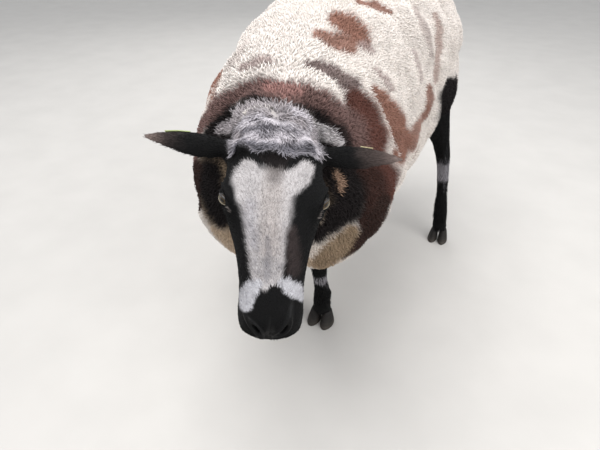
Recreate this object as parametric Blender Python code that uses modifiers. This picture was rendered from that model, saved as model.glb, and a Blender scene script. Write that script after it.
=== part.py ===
"""A Dutch Spotted ram standing still, life size, in metres, parted into the pieces a person would name."""

import math
import random

import bmesh
import bpy
import numpy as np
from mathutils import Matrix, Vector

COLLECTION = "dutch_spotted_ram"
GAP = 0.0003

# The build frame: floor at z 0, nose towards -Y, the ram's left towards +X.
# ORIGIN is the middle of the whole ram's footprint box in it, and becomes the origin at the end.
ORIGIN = Vector((0.0392, -0.0057, 0.0))

# The trunk bends a little to its left behind the shoulders.
BEND_FROM = -0.15
BEND_LENGTH = 0.55
BEND_SIDEWAYS = 0.020

# Trunk out to the tips of the fleece: y, top, height of the widest part, underline, half width,
# and how square its back is.
TRUNK_ROWS = (
    (-0.408, 0.540, 0.440, 0.385, 0.040, 2.0),
    (-0.390, 0.620, 0.440, 0.335, 0.110, 2.0),
    (-0.345, 0.680, 0.430, 0.295, 0.168, 1.9),
    (-0.270, 0.730, 0.430, 0.272, 0.200, 1.9),
    (-0.210, 0.754, 0.440, 0.268, 0.204, 2.0),
    (-0.150, 0.771, 0.455, 0.266, 0.203, 2.15),
    (0.000, 0.780, 0.470, 0.273, 0.204, 2.4),
    (0.150, 0.772, 0.480, 0.288, 0.208, 2.5),
    (0.300, 0.768, 0.500, 0.318, 0.210, 2.5),
    (0.400, 0.758, 0.520, 0.348, 0.203, 2.5),
    (0.480, 0.733, 0.530, 0.392, 0.180, 2.4),
    (0.535, 0.688, 0.545, 0.440, 0.130, 2.2),
    (0.560, 0.620, 0.550, 0.490, 0.060, 2.0),
)
TRUNK_LOWER_POWER = 2.5
TRUNK_SIDES = 40
SHEATH_CENTRE = (0.010, 0.150, 0.288)
SHEATH_SIZE = (0.028, 0.055, 0.024)

# Neck: x, y and z of the crest, y and z of the throat, half width, with the fleece on.
NECK_ROWS = (
    (0.000, -0.170, 0.745, -0.330, 0.400, 0.140),
    (0.010, -0.250, 0.732, -0.385, 0.420, 0.132),
    (0.035, -0.325, 0.706, -0.400, 0.440, 0.116),
    (0.056, -0.380, 0.676, -0.412, 0.462, 0.094),
    (0.085, -0.450, 0.634, -0.460, 0.484, 0.068),
)
NECK_POWER = 2.2
NECK_SIDES = 32
NECK_CUT_POINT = Vector((0.0, -0.300, 0.620))
NECK_CUT_DIRECTION = Vector((0.10, -0.84, 0.54))

# Legs: joints from the top down (top, elbow or stifle, knee or hock, fetlock, coronet), then half
# widths across and fore and aft by place between joints.
LEG_SPANS = 4
FORE_LEG_LEFT_JOINTS = (
    (0.115, -0.205, 0.480),
    (0.095, -0.145, 0.365),
    (0.050, -0.186, 0.232),
    (0.045, -0.153, 0.092),
    (0.046, -0.156, 0.040),
)
FORE_LEG_RIGHT_JOINTS = (
    (-0.115, -0.205, 0.480),
    (-0.108, -0.145, 0.365),
    (-0.088, -0.172, 0.232),
    (-0.084, -0.140, 0.092),
    (-0.084, -0.143, 0.040),
)
FORE_LEG_ROWS = (
    (0.0, 0.062, 0.088),
    (0.6, 0.058, 0.076),
    (1.0, 0.046, 0.058),
    (1.5, 0.030, 0.035),
    (1.8, 0.0235, 0.025),
    (2.0, 0.0255, 0.0275),
    (2.2, 0.0210, 0.0220),
    (2.5, 0.0165, 0.0185),
    (2.8, 0.0175, 0.0205),
    (3.0, 0.0220, 0.0250),
    (3.4, 0.0200, 0.0215),
    (3.8, 0.0260, 0.0270),
    (4.0, 0.0290, 0.0300),
)
HIND_LEG_LEFT_JOINTS = (
    (0.135, 0.350, 0.560),
    (0.168, 0.315, 0.430),
    (0.216, 0.372, 0.278),
    (0.242, 0.350, 0.095),
    (0.250, 0.335, 0.040),
)
HIND_LEG_RIGHT_JOINTS = (
    (-0.105, 0.365, 0.560),
    (-0.132, 0.330, 0.430),
    (-0.150, 0.402, 0.278),
    (-0.156, 0.380, 0.095),
    (-0.160, 0.366, 0.040),
)
HIND_LEG_ROWS = (
    (0.0, 0.070, 0.120),
    (0.6, 0.066, 0.104),
    (1.0, 0.052, 0.080),
    (1.35, 0.040, 0.057),
    (1.7, 0.026, 0.038),
    (1.95, 0.0225, 0.034),
    (2.2, 0.0185, 0.0250),
    (2.5, 0.0165, 0.0190),
    (2.8, 0.0180, 0.0205),
    (3.0, 0.0220, 0.0250),
    (3.4, 0.0190, 0.0210),
    (3.8, 0.0240, 0.0260),
    (4.0, 0.0265, 0.0290),
)
LEG_POWER = 2.1
LEG_SIDES = 18
DEW_CLAW_SIZE = (0.0075, 0.0085, 0.012)
DEW_CLAW_PLACE = (0.013, 0.021, 0.012)
# Each leg leaves the trunk on a slanting plane: where it passes, and the front and back of its part.
FORE_LEG_CUT = (0.100, 0.335, -0.262, -0.060)
HIND_LEG_CUT = (0.125, 0.425, 0.205, 0.620)
LEG_CUT_SLANT = math.radians(40)

# Feet.
HOOF_HEIGHT = 0.040
CLAW_HALF_LENGTH = 0.030
FORE_CLAW_HALF_WIDTH = 0.0165
HIND_CLAW_HALF_WIDTH = 0.0145
CLAW_CLEFT = 0.0030
CLAW_TOP_SCALE = 0.82
CLAW_TOP_BACK = 0.007
CLAW_SIDES = 12
CLAW_POWER = 2.5

# Tail and scrotum: y, z, half width, half depth.
TAIL_ROWS = (
    (0.520, 0.690, 0.030, 0.026),
    (0.560, 0.675, 0.036, 0.030),
    (0.584, 0.630, 0.040, 0.030),
    (0.591, 0.570, 0.038, 0.027),
    (0.587, 0.500, 0.034, 0.024),
    (0.580, 0.440, 0.027, 0.019),
    (0.576, 0.405, 0.014, 0.010),
)
TAIL_CUT_FACE = 0.566
SCROTUM_ROWS = (
    (0.370, 0.400, 0.040, 0.040),
    (0.372, 0.345, 0.036, 0.036),
    (0.376, 0.305, 0.043, 0.045),
    (0.378, 0.260, 0.048, 0.050),
    (0.376, 0.228, 0.034, 0.036),
    (0.375, 0.216, 0.012, 0.012),
)
SCROTUM_CUT_HEIGHT = 0.336
SCROTUM_PART = (0.062, 0.290, 0.460)

# Head: where the poll is, and how the head turns to the left, drops and leans.
POLL = Vector((0.074, -0.433, 0.625))
HEAD_TURN = math.radians(24.9)
HEAD_DROP = math.radians(21.7)
HEAD_LEAN = math.radians(5.0)
# In the head's own frame the nose is towards -Y and the forehead is up, with the poll at 0.
# Rows: distance from the poll, top, height of the widest part, underline, half width.
HEAD_ROWS = (
    (-0.075, -0.030, -0.070, -0.100, 0.030),
    (-0.060, -0.004, -0.065, -0.125, 0.055),
    (-0.030, 0.008, -0.058, -0.146, 0.064),
    (0.020, 0.012, -0.050, -0.160, 0.067),
    (0.060, 0.010, -0.046, -0.162, 0.069),
    (0.098, 0.002, -0.044, -0.154, 0.068),
    (0.130, -0.008, -0.050, -0.143, 0.058),
    (0.165, -0.018, -0.058, -0.131, 0.048),
    (0.205, -0.030, -0.067, -0.117, 0.0415),
    (0.233, -0.040, -0.073, -0.112, 0.0410),
    (0.250, -0.048, -0.076, -0.105, 0.0385),
    (0.262, -0.056, -0.077, -0.098, 0.031),
    (0.269, -0.064, -0.077, -0.089, 0.016),
)
HEAD_TOP_POWER = 2.5
HEAD_LOWER_POWER = 1.85
HEAD_SIDES = 40
HEAD_CUT_TOP = -0.045
HEAD_CUT_THROAT = 0.000
ORBIT = (0.046, 0.092, -0.028)
ORBIT_SIZE = (0.0275, 0.044, 0.026)
CHEEK = (0.034, 0.058, -0.100)
CHEEK_SIZE = (0.026, 0.058, 0.054)

# Eyes, and the lids that lie round them.
EYE_CENTRE = (0.0562, 0.0985, -0.0300)
EYE_RADIUS = 0.0135
EYE_OUTWARD = Vector((0.74, -0.50, 0.42))
EYE_ALONG = Vector((0.30, -0.80, -0.45))
LID_THICKNESS = 0.0026
LID_HALF_LENGTH = 0.0125
LID_UPPER_HEIGHT = 0.0068
LID_LOWER_HEIGHT = 0.0058
LID_SIDES = 20

# Nostrils and mouth.
NOSTRIL = (0.0170, 0.260, -0.0690)
NOSTRIL_SIZE = (0.0036, 0.0110, 0.0080)
NOSTRIL_SPLAY = math.radians(38)
MOUTH_HEIGHT = -0.0865
MOUTH_CORNER = 0.203
MOUTH_DROP = math.radians(5)
MOUTH_OPENING = 0.0022
MOUTH_DEPTH = 0.0055
LIP_RADIUS = 0.0042
LIP_SPACING = 0.0056

# Ears: roots, tips, the way the cup opens, and the size of the cup.
EAR_ROOT = (0.050, 0.006, -0.024)
EAR_TIP_LEFT = (0.186, 0.016, -0.024)
EAR_TIP_RIGHT = (0.186, 0.002, -0.018)
EAR_OPENING = Vector((0.0, -0.10, -0.99))
EAR_ROWS = (
    (0.00, 0.0230, 150),
    (0.14, 0.0275, 118),
    (0.28, 0.0320, 90),
    (0.42, 0.0330, 72),
    (0.55, 0.0300, 60),
    (0.68, 0.0240, 52),
    (0.80, 0.0175, 46),
    (0.92, 0.0105, 40),
    (1.00, 0.0040, 36),
)
EAR_THICKNESS = 0.0032
EAR_BOW = 0.006
EAR_ACROSS = 8
EAR_CUT_SHARE = 0.17
EAR_STUB_RADIUS = 0.0170
EAR_STUB_OFFSET = 0.0130
EAR_STUB_SIDES = 12
# Plain tags folded over the rear rims: first and last row of the ear that each one holds.
TAG_ROWS = {"left": (4, 5), "right": (4, 6)}
TAG_THICKNESS = 0.0012
TAG_DEPTH = 0.0050

# Fleece: how far the core lies under the tips, and the clumps that rise from it.
CORE_INSET = 0.016
TRUNK_CLUMPS = 90
NECK_CLUMPS = 24
TAIL_CLUMPS = 8
TOPKNOT_CLUMPS = 13
TOPKNOT_RISE = 0.015
CLUMP_COVER = 0.66
CLUMP_HEIGHT_SHARE = 0.52
CLUMP_SINK_SHARE = 0.35
CLUMP_SIDES = 7
CLUMP_RINGS = 4
CLUMP_UNEVENNESS = 0.05
CLUMP_SEED = 11
SAMPLES = 7000
EVENING_ROUNDS = 12
FORE_WOOL_LINE = 0.335
HIND_WOOL_LINE = 0.440

BODY_VOXEL = 0.009
BODY_TRIANGLES = 2300
HEAD_VOXEL = 0.0030
HEAD_TRIANGLES = 1300


def smooth_rows(rows, steps):
    """The rows with more between them, on a Catmull-Rom curve through them all."""
    rows = np.array(rows, float)
    padded = np.vstack([2 * rows[0] - rows[1], rows, 2 * rows[-1] - rows[-2]])
    made = []
    for before, start, end, after in zip(padded, padded[1:], padded[2:], padded[3:]):
        for share in np.arange(steps) / steps:
            linear = (end - before) * share
            square = (2 * before - 5 * start + 4 * end - after) * share**2
            cube = (3 * start - before - 3 * end + after) * share**3
            made.append(start + 0.5 * (linear + square + cube))
    made.append(rows[-1])
    return np.array(made)


def ring(centre, right, up, half_width, half_up, half_down, power, sides, lower_power=None):
    """Points round a superellipse whose upper and lower halves may differ."""
    points = []
    for step in range(sides):
        angle = 2 * math.pi * step / sides
        across, along = math.cos(angle), math.sin(angle)
        bend_power = power if along >= 0 or lower_power is None else lower_power
        height = half_up if along >= 0 else half_down
        wide = math.copysign(abs(across) ** (2 / bend_power), across) * half_width
        tall = math.copysign(abs(along) ** (2 / bend_power), along) * height
        points.append(Vector(centre) + Vector(right) * wide + Vector(up) * tall)
    return points


def loft(name, rings, hollow_ends=False):
    """A closed mesh object through rings of equal counts, with its ends filled."""
    made = bmesh.new()
    loops = [[made.verts.new(point) for point in points] for points in rings]
    sides = len(loops[0])
    for first, second in zip(loops, loops[1:]):
        for step in range(sides):
            after = (step + 1) % sides
            made.faces.new((first[step], first[after], second[after], second[step]))
    for loop in (loops[0], loops[-1]):
        if hollow_ends:
            made.faces.new(loop)
            continue
        middle = made.verts.new(sum((vert.co for vert in loop), Vector()) / sides)
        for step in range(sides):
            made.faces.new((loop[step], loop[(step + 1) % sides], middle))
    bmesh.ops.recalc_face_normals(made, faces=made.faces)
    return object_from(name, made)


def object_from(name, made):
    """A new object in the ram's collection from a bmesh, which is freed."""
    bmesh.ops.triangulate(made, faces=made.faces)
    if made.calc_volume(signed=True) < 0:
        bmesh.ops.reverse_faces(made, faces=made.faces)
    mesh = bpy.data.meshes.new(name)
    made.to_mesh(mesh)
    made.free()
    created = bpy.data.objects.new(name, mesh)
    bpy.data.collections[COLLECTION].objects.link(created)
    return created


def ellipsoid(name, centre, size, turn=None, sides=20, rows=12):
    made = bmesh.new()
    bmesh.ops.create_uvsphere(made, u_segments=sides, v_segments=rows, radius=1)
    made.transform(Matrix.Translation(centre) @ (turn or Matrix()) @ Matrix.Diagonal((*size, 1)))
    return object_from(name, made)


def block(name, low, high, turn=None):
    """A box from its low to its high corner, then turned by a matrix."""
    made = bmesh.new()
    bmesh.ops.create_cube(made, size=1)
    size = Vector(high) - Vector(low)
    middle = (Vector(high) + Vector(low)) / 2
    made.transform((turn or Matrix()) @ Matrix.Translation(middle) @ Matrix.Diagonal((*size, 1)))
    return object_from(name, made)


def pipe(name, points, radius, sides=10):
    """A closed tube along points."""
    rings = []
    for index, point in enumerate(points):
        after = points[min(index + 1, len(points) - 1)]
        before = points[max(index - 1, 0)]
        turn = (after - before).to_track_quat("Z", "Y").to_matrix()
        rings.append(ring(point, turn.col[0], turn.col[1], radius, radius, radius, 2, sides))
    return loft(name, rings)


def settle(target):
    """Gives the object its evaluated mesh and drops its modifiers."""
    graph = bpy.context.evaluated_depsgraph_get()
    mesh = bpy.data.meshes.new_from_object(target.evaluated_get(graph))
    target.modifiers.clear()
    target.data = mesh


def keep_largest(target):
    """Keeps only the largest closed surface of the object, in triangles."""
    made = bmesh.new()
    made.from_mesh(target.data)
    left = set(made.faces)
    best = []
    while left:
        found = [left.pop()]
        for face in found:
            for edge in face.edges:
                for other in edge.link_faces:
                    if other in left:
                        left.remove(other)
                        found.append(other)
        if len(found) > len(best):
            best = found
    keep = set(best)
    bmesh.ops.delete(made, geom=[face for face in made.faces if face not in keep], context="FACES")
    bmesh.ops.triangulate(made, faces=made.faces)
    made.to_mesh(target.data)
    made.free()
    return target


def combine(target, others, operation):
    """Applies one Boolean of the target with all the others, then removes the others."""
    tools = bpy.data.collections.new("joined")
    bpy.context.scene.collection.children.link(tools)
    for other in others:
        bpy.data.collections[COLLECTION].objects.unlink(other)
        tools.objects.link(other)
    boolean = target.modifiers.new("combine", "BOOLEAN")
    boolean.operation = operation
    boolean.solver = "MANIFOLD"
    boolean.operand_type = "COLLECTION"
    boolean.collection = tools
    settle(target)
    for other in others:
        bpy.data.objects.remove(other)
    bpy.data.collections.remove(tools)
    return keep_largest(target)


def copy_of(source, name):
    created = bpy.data.objects.new(name, source.data.copy())
    bpy.data.collections[COLLECTION].objects.link(created)
    return created


def melt(target, voxel, triangles, smoothing):
    """Melts the pieces of the object into one smooth skin of about the given number of triangles."""
    remesh = target.modifiers.new("remesh", "REMESH")
    remesh.mode = "VOXEL"
    remesh.voxel_size = voxel
    smooth = target.modifiers.new("smooth", "SMOOTH")
    smooth.factor = 0.5
    smooth.iterations = smoothing
    settle(target)
    keep_largest(target)
    decimate = target.modifiers.new("decimate", "DECIMATE")
    decimate.ratio = triangles / len(target.data.polygons)
    settle(target)
    return keep_largest(target)


def part_at(whole, name, cutter_of):
    """Parts the piece inside a cutter from the whole, with a gap between, and returns it."""
    piece = copy_of(whole, name)
    combine(piece, [cutter_of("inner", 0.0)], "INTERSECT")
    combine(whole, [cutter_of("outer", GAP)], "DIFFERENCE")
    return piece


def plane_cutter(name, point, direction, spread, size=0.8):
    """A large block that fills the side of a plane to which the direction points."""
    turn = Vector(direction).normalized().to_track_quat("Z", "Y").to_matrix().to_4x4()
    return block(name, (-size, -size, -spread), (size, size, size), Matrix.Translation(point) @ turn)


def bend(y):
    """How far to the left the trunk's middle lies at y."""
    share = min(max((y - BEND_FROM) / BEND_LENGTH, 0), 1.3)
    return BEND_SIDEWAYS * share**1.6


def trunk(name, inset):
    """The trunk, a little inside the tips of its fleece."""
    length = TRUNK_ROWS[-1][0] - TRUNK_ROWS[0][0]
    middle_y = (TRUNK_ROWS[-1][0] + TRUNK_ROWS[0][0]) / 2
    rings = []
    for y, top, widest, bottom, half, squareness in smooth_rows(TRUNK_ROWS, 3):
        inner_y = middle_y + (y - middle_y) * (1 - 2 * inset / length)
        centre = (bend(inner_y), inner_y, widest)
        wide = half - inset * min(1, half / 0.1)
        up = (top - widest) * (1 - inset / 0.25)
        down = (widest - bottom) * (1 - inset / 0.20)
        shape = (wide, up, down, squareness, TRUNK_SIDES, TRUNK_LOWER_POWER)
        rings.append(ring(centre, (1, 0, 0), (0, 0, 1), *shape))
    return loft(name, rings)


def neck(name, inset):
    rings = []
    for x, crest_y, crest_z, throat_y, throat_z, half in smooth_rows(NECK_ROWS, 4):
        crest = Vector((x, crest_y, crest_z))
        throat = Vector((x, throat_y, throat_z))
        up = (crest - throat).normalized()
        tall = (crest - throat).length / 2 - inset
        middle = (crest + throat) / 2
        rings.append(ring(middle, (1, 0, 0), up, half - inset, tall, tall, NECK_POWER, NECK_SIDES))
    return loft(name, rings)


def leg(name, joints, rows):
    """A leg from its joints, with its half widths by place between them, and two dew claws."""
    path = smooth_rows(joints, 8)
    places = np.linspace(0, len(joints) - 1, len(path))
    rings = []
    for place, half_across, half_along in smooth_rows(rows, 2):
        centre = [np.interp(place, places, path[:, axis]) for axis in range(3)]
        rings.append(
            ring(centre, (1, 0, 0), (0, 1, 0), half_across, half_along, half_along, LEG_POWER, LEG_SIDES)
        )
    made = loft(name, rings)
    fetlock = Vector(joints[3])
    across, behind, below = DEW_CLAW_PLACE
    claws = [
        ellipsoid("dew_claw", fetlock + Vector((side * across, behind, -below)), DEW_CLAW_SIZE, None, 10, 8)
        for side in (-1, 1)
    ]
    return combine(made, claws, "UNION")


def hanging(name, rows, sides):
    """A piece that hangs along the trunk's middle line."""
    rings = []
    for y, z, half_across, half_deep in smooth_rows(rows, 3):
        centre = (bend(y), y, z)
        rings.append(ring(centre, (1, 0, 0), (0, 1, 0), half_across, half_deep, half_deep, 2, sides))
    return loft(name, rings)


def leg_joints():
    """The joints of each leg, by its name."""
    return {
        "leg_fore_left": FORE_LEG_LEFT_JOINTS,
        "leg_fore_right": FORE_LEG_RIGHT_JOINTS,
        "leg_hind_left": HIND_LEG_LEFT_JOINTS,
        "leg_hind_right": HIND_LEG_RIGHT_JOINTS,
    }


def leg_cutter(name, side, cut, spread):
    """The slanting block that holds one leg, grown by the spread."""
    across, height, front, back = cut
    middle = bend((front + back) / 2)
    slant = Matrix.Rotation(-side * LEG_CUT_SLANT, 4, "Y")
    place = Matrix.Translation((middle + side * across, 0, height))
    low, high = (-0.6, front - spread, -0.9), (0.6, back + spread, spread)
    slanted = block(name, low, high, place @ slant)
    inner, outer = sorted((middle - side * spread, middle + side * 0.5))
    upright = block(name + "_side", (inner, front - spread, 0), (outer, back + spread, 0.9))
    return combine(slanted, [upright], "INTERSECT")


def tail_cutter(name, spread):
    return block(name, (-0.2, TAIL_CUT_FACE - spread, 0.3), (0.4, 0.9, 0.9))


def scrotum_cutter(name, spread):
    half, front, back = SCROTUM_PART
    middle = bend((front + back) / 2)
    return block(name, (middle - half, front, 0.1), (middle + half, back, SCROTUM_CUT_HEIGHT + spread))


def neck_cutter(name, spread):
    return plane_cutter(name, NECK_CUT_POINT, NECK_CUT_DIRECTION, spread)


def head_frame():
    turn = Matrix.Rotation(HEAD_TURN, 4, "Z") @ Matrix.Rotation(HEAD_DROP, 4, "X")
    return Matrix.Translation(POLL) @ turn @ Matrix.Rotation(HEAD_LEAN, 4, "Y")


def in_head(across, along, up):
    """A point of the head from its distance to the left, from the poll to the nose, and upward."""
    return Vector((across, -along, up))


def head_cutter(name, spread):
    """The block that holds the head, in front of a plane behind the poll and the jaw."""
    top = in_head(0, HEAD_CUT_TOP, 0)
    throat = in_head(0, HEAD_CUT_THROAT, -0.15)
    forward = (throat - top).normalized().cross(Vector((1, 0, 0)))
    frame = head_frame()
    return plane_cutter(name, frame @ top, frame.to_3x3() @ forward, spread, 0.35)


def wool_line_clear(point, rows_by_leg):
    """Whether a point of the body lies off the short hair of the legs and scrotum."""
    x, y, z = point
    half, front, back = SCROTUM_PART
    if z < SCROTUM_CUT_HEIGHT + 0.02 and front < y < back and abs(x - bend(y)) < half:
        return False
    for name, (path, rows) in rows_by_leg.items():
        line = FORE_WOOL_LINE if "fore" in name else HIND_WOOL_LINE
        if z > line:
            continue
        centre_x = np.interp(z, path[::-1, 2], path[::-1, 0])
        centre_y = np.interp(z, path[::-1, 2], path[::-1, 1])
        place = np.interp(z, path[::-1, 2], np.linspace(LEG_SPANS, 0, len(path)))
        across = np.interp(place, [row[0] for row in rows], [row[1] for row in rows])
        along = np.interp(place, [row[0] for row in rows], [row[2] for row in rows])
        if math.hypot((x - centre_x) / across, (y - centre_y) / along) < 1.3:
            return False
    return True


def surface_samples(target, allowed, seed):
    """Random points of the surface with their normals, where allowed says so, and the area they stand for."""
    chooser = np.random.default_rng(seed)
    mesh = target.data
    corners = np.array([[mesh.vertices[index].co for index in face.vertices] for face in mesh.polygons])
    areas = np.array([face.area for face in mesh.polygons])
    normals = np.array([face.normal for face in mesh.polygons])
    chosen = chooser.choice(len(areas), SAMPLES, p=areas / areas.sum())
    first, second = chooser.random(SAMPLES), chooser.random(SAMPLES)
    flip = first + second > 1
    first[flip], second[flip] = 1 - first[flip], 1 - second[flip]
    base = corners[chosen]
    points = base[:, 0] + first[:, None] * (base[:, 1] - base[:, 0])
    points += second[:, None] * (base[:, 2] - base[:, 0])
    kept = np.array([allowed(Vector(point), Vector(normals[face])) for point, face in zip(points, chosen)])
    return points[kept], normals[chosen[kept]], areas.sum() * kept.mean()


def spread_points(points, count):
    """Indices of evenly spread points: each next one is the farthest from those before, then all even out."""
    distance = np.full(len(points), 9.0)
    picked = [0]
    while len(picked) < count:
        distance = np.minimum(distance, np.linalg.norm(points - points[picked[-1]], axis=1))
        picked.append(int(distance.argmax()))
    for _ in range(EVENING_ROUNDS):
        gaps = np.linalg.norm(points[:, None] - points[picked][None], axis=2)
        nearest = gaps.argmin(axis=1)
        middles = [points[nearest == index].mean(axis=0) for index in range(count)]
        picked = [int(np.linalg.norm(points - middle, axis=1).argmin()) for middle in middles]
    return picked


def clumps(target, count, rise, allowed, seed):
    """Rounded clumps of fleece, sunk in the surface and set close over it, as loose objects."""
    chooser = random.Random(seed)
    points, normals, area = surface_samples(target, allowed, seed)
    spacing = math.sqrt(area / count * 2 / math.sqrt(3))
    made = []
    for index in spread_points(points, count):
        point, normal = Vector(points[index]), Vector(normals[index])
        radius = spacing * CLUMP_COVER * chooser.uniform(0.94, 1.08)
        height = max(radius * CLUMP_HEIGHT_SHARE, rise * (1 + CLUMP_SINK_SHARE))
        turn = normal.to_track_quat("Z", "Y").to_matrix().to_4x4()
        turn = turn @ Matrix.Rotation(chooser.uniform(0, math.pi), 4, "Z")
        centre = point + normal * (rise * chooser.uniform(0.88, 1.06) - height)
        size = (radius * chooser.uniform(0.96, 1.08), radius * chooser.uniform(0.94, 1.02), height)
        clump = ellipsoid("clump", centre, size, turn, CLUMP_SIDES, CLUMP_RINGS)
        for vertex in clump.data.vertices:
            vertex.co = centre + (vertex.co - centre) * (1 + chooser.uniform(-1, 1) * CLUMP_UNEVENNESS)
        made.append(clump)
    return made


def fleece(body):
    """Grows the clumps of the trunk, neck and tail on the core."""
    rows_by_leg = {}
    for name, joints in leg_joints().items():
        rows_by_leg[name] = (smooth_rows(joints, 8), FORE_LEG_ROWS if "fore" in name else HIND_LEG_ROWS)
    forward = NECK_CUT_DIRECTION.normalized()

    def on_neck(point):
        return (point - NECK_CUT_POINT).dot(forward) > 0

    def on_tail(point):
        return point.y > TAIL_CUT_FACE

    def neck_wool(point, normal):
        return on_neck(point)

    def tail_wool(point, normal):
        return on_tail(point)

    def trunk_wool(point, normal):
        return not on_neck(point) and not on_tail(point) and wool_line_clear(point, rows_by_leg)

    grown = clumps(body, TRUNK_CLUMPS, CORE_INSET, trunk_wool, CLUMP_SEED)
    grown += clumps(body, NECK_CLUMPS, CORE_INSET, neck_wool, CLUMP_SEED + 1)
    grown += clumps(body, TAIL_CLUMPS, CORE_INSET * 0.6, tail_wool, CLUMP_SEED + 2)
    return combine(body, grown, "UNION")


def head_form(name, inset, sides, steps):
    """The skull with its muzzle, or a smaller form inside it."""
    rings = []
    for along, top, widest, bottom, half in smooth_rows(HEAD_ROWS, steps):
        shortened = along - inset * max(0, (along - 0.2) / 0.07)
        wide = max(half - inset, 0.002)
        up = max(top - widest - inset, 0.001)
        down = max(widest - bottom - inset, 0.001)
        shape = (wide, up, down, HEAD_TOP_POWER, sides, HEAD_LOWER_POWER)
        rings.append(ring(in_head(0, shortened, widest), (1, 0, 0), (0, 0, 1), *shape))
    return loft(name, rings)


def muzzle_point(along, up):
    """The left side of the muzzle's surface at a distance from the poll and a height."""
    rows = smooth_rows(HEAD_ROWS, 6)
    top, widest, bottom, half = [np.interp(along, rows[:, 0], rows[:, axis]) for axis in range(1, 5)]
    power = HEAD_TOP_POWER if up > widest else HEAD_LOWER_POWER
    share = (up - widest) / (top - widest) if up > widest else (widest - up) / (widest - bottom)
    sine = min(share, 0.98) ** (power / 2)
    return in_head(half * (1 - sine**2) ** (1 / power), along, up)


def mouth_up(along):
    """The height of the line of the mouth at a distance from the poll."""
    return MOUTH_HEIGHT - (HEAD_ROWS[-1][0] - along) * math.tan(MOUTH_DROP)


def lip(name, raised):
    """A swelling along the line of the mouth, round the front of the muzzle."""
    bottoms = [row[3] for row in HEAD_ROWS[-5:]]
    front = np.interp(MOUTH_HEIGHT + raised, bottoms, [row[0] for row in HEAD_ROWS[-5:]]) - 0.002
    path = []
    for along in np.linspace(MOUTH_CORNER, front, 9):
        path.append(muzzle_point(along, mouth_up(along) + raised))
    mirrored = [Vector((-point.x, point.y, point.z)) for point in reversed(path)]
    return pipe(name, path + mirrored, LIP_RADIUS, 8)


def mouth_cutter(name):
    """A thin slab round the muzzle, as deep as the line of the mouth."""
    front = HEAD_ROWS[-1][0]
    slant = Matrix.Translation(in_head(0, front, MOUTH_HEIGHT)) @ Matrix.Rotation(-MOUTH_DROP, 4, "X")
    half = MOUTH_OPENING / 2
    slab = block(name, (-0.08, -0.03, -half), (0.08, front - MOUTH_CORNER, half), slant)
    return combine(slab, [head_form("inner_muzzle", MOUTH_DEPTH, 20, 1)], "DIFFERENCE")


def eye_matrix(side):
    """The frame of an eye: Z out of the head, X along the opening towards the nose."""
    across, along, up = EYE_CENTRE
    outward = Vector((side * EYE_OUTWARD.x, EYE_OUTWARD.y, EYE_OUTWARD.z)).normalized()
    forward = Vector((side * EYE_ALONG.x, EYE_ALONG.y, EYE_ALONG.z))
    forward = (forward - outward * forward.dot(outward)).normalized()
    upward = outward.cross(forward)
    turn = Matrix((forward, upward, outward)).transposed().to_4x4()
    return Matrix.Translation(in_head(side * across, along, up)) @ turn


def lid_opening(name, side):
    """An almond prism that opens the lids over an eye."""
    matrix = eye_matrix(side)
    upper_sign = 1 if matrix.col[1].z > 0 else -1
    rings = []
    for depth, scale in ((0.002, 0.9), (EYE_RADIUS + LID_THICKNESS + 0.006, 1.12)):
        points = []
        for step in range(LID_SIDES):
            angle = 2 * math.pi * step / LID_SIDES
            height = LID_UPPER_HEIGHT if math.sin(angle) > 0 else LID_LOWER_HEIGHT
            bow = math.copysign(abs(math.sin(angle)) ** 1.25, math.sin(angle))
            place = Vector((math.cos(angle) * LID_HALF_LENGTH, upper_sign * bow * height, 0)) * scale
            points.append(matrix @ (place + Vector((0, 0, depth))))
        rings.append(points)
    return loft(name, rings)


def nostril_cutter(name, side):
    across, along, up = NOSTRIL
    turn = Matrix.Rotation(side * NOSTRIL_SPLAY, 4, "Y") @ Matrix.Rotation(math.radians(-20), 4, "X")
    return ellipsoid(name, in_head(side * across, along, up), NOSTRIL_SIZE, turn, 12, 8)


def head(name):
    """The head in its own frame, before its nostrils, mouth and eyes are opened."""
    made = head_form(name, 0, HEAD_SIDES, 3)
    bulges = [lip("upper_lip", LIP_SPACING), lip("lower_lip", -LIP_SPACING)]
    lid = EYE_RADIUS + LID_THICKNESS
    for side in (-1, 1):
        for place, size in ((ORBIT, ORBIT_SIZE), (CHEEK, CHEEK_SIZE)):
            across, along, up = place
            bulges.append(ellipsoid("bulge", in_head(side * across, along, up), size))
        across, along, up = EYE_CENTRE
        bulges.append(ellipsoid("lid", in_head(side * across, along, up), (lid, lid, lid)))
        bulges.append(ear_stub("ear_stub", side))
    combine(made, bulges, "UNION")
    melt(made, HEAD_VOXEL, HEAD_TRIANGLES, 6)
    return combine(made, topknot(made), "UNION")


def topknot(skull):
    """Clumps of wool over the poll, between the ears."""

    def allowed(point, normal):
        return -0.052 < -point.y < 0.046 and abs(point.x) < 0.047 and normal.z > 0.3

    return clumps(skull, TOPKNOT_CLUMPS, TOPKNOT_RISE, allowed, CLUMP_SEED + 3)


def open_head(skull):
    """Opens the nostrils, the line of the mouth, the lids and the sockets behind them."""
    socket = EYE_RADIUS + GAP
    cutters = [mouth_cutter("mouth")]
    for side in (-1, 1):
        across, along, up = EYE_CENTRE
        place = in_head(side * across, along, up)
        cutters.append(ellipsoid("socket", place, (socket,) * 3, None, 14, 9))
        cutters.append(lid_opening("lid_opening", side))
        cutters.append(nostril_cutter("nostril", side))
        cutters.append(ear_cutter("ear_side", side, GAP, True))
    combine(skull, cutters, "DIFFERENCE")


def ear_axis(side):
    """The root and tip of an ear in the head's frame."""
    root = in_head(side * EAR_ROOT[0], *EAR_ROOT[1:])
    tip = EAR_TIP_LEFT if side > 0 else EAR_TIP_RIGHT
    return root, in_head(side * tip[0], *tip[1:])


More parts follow.
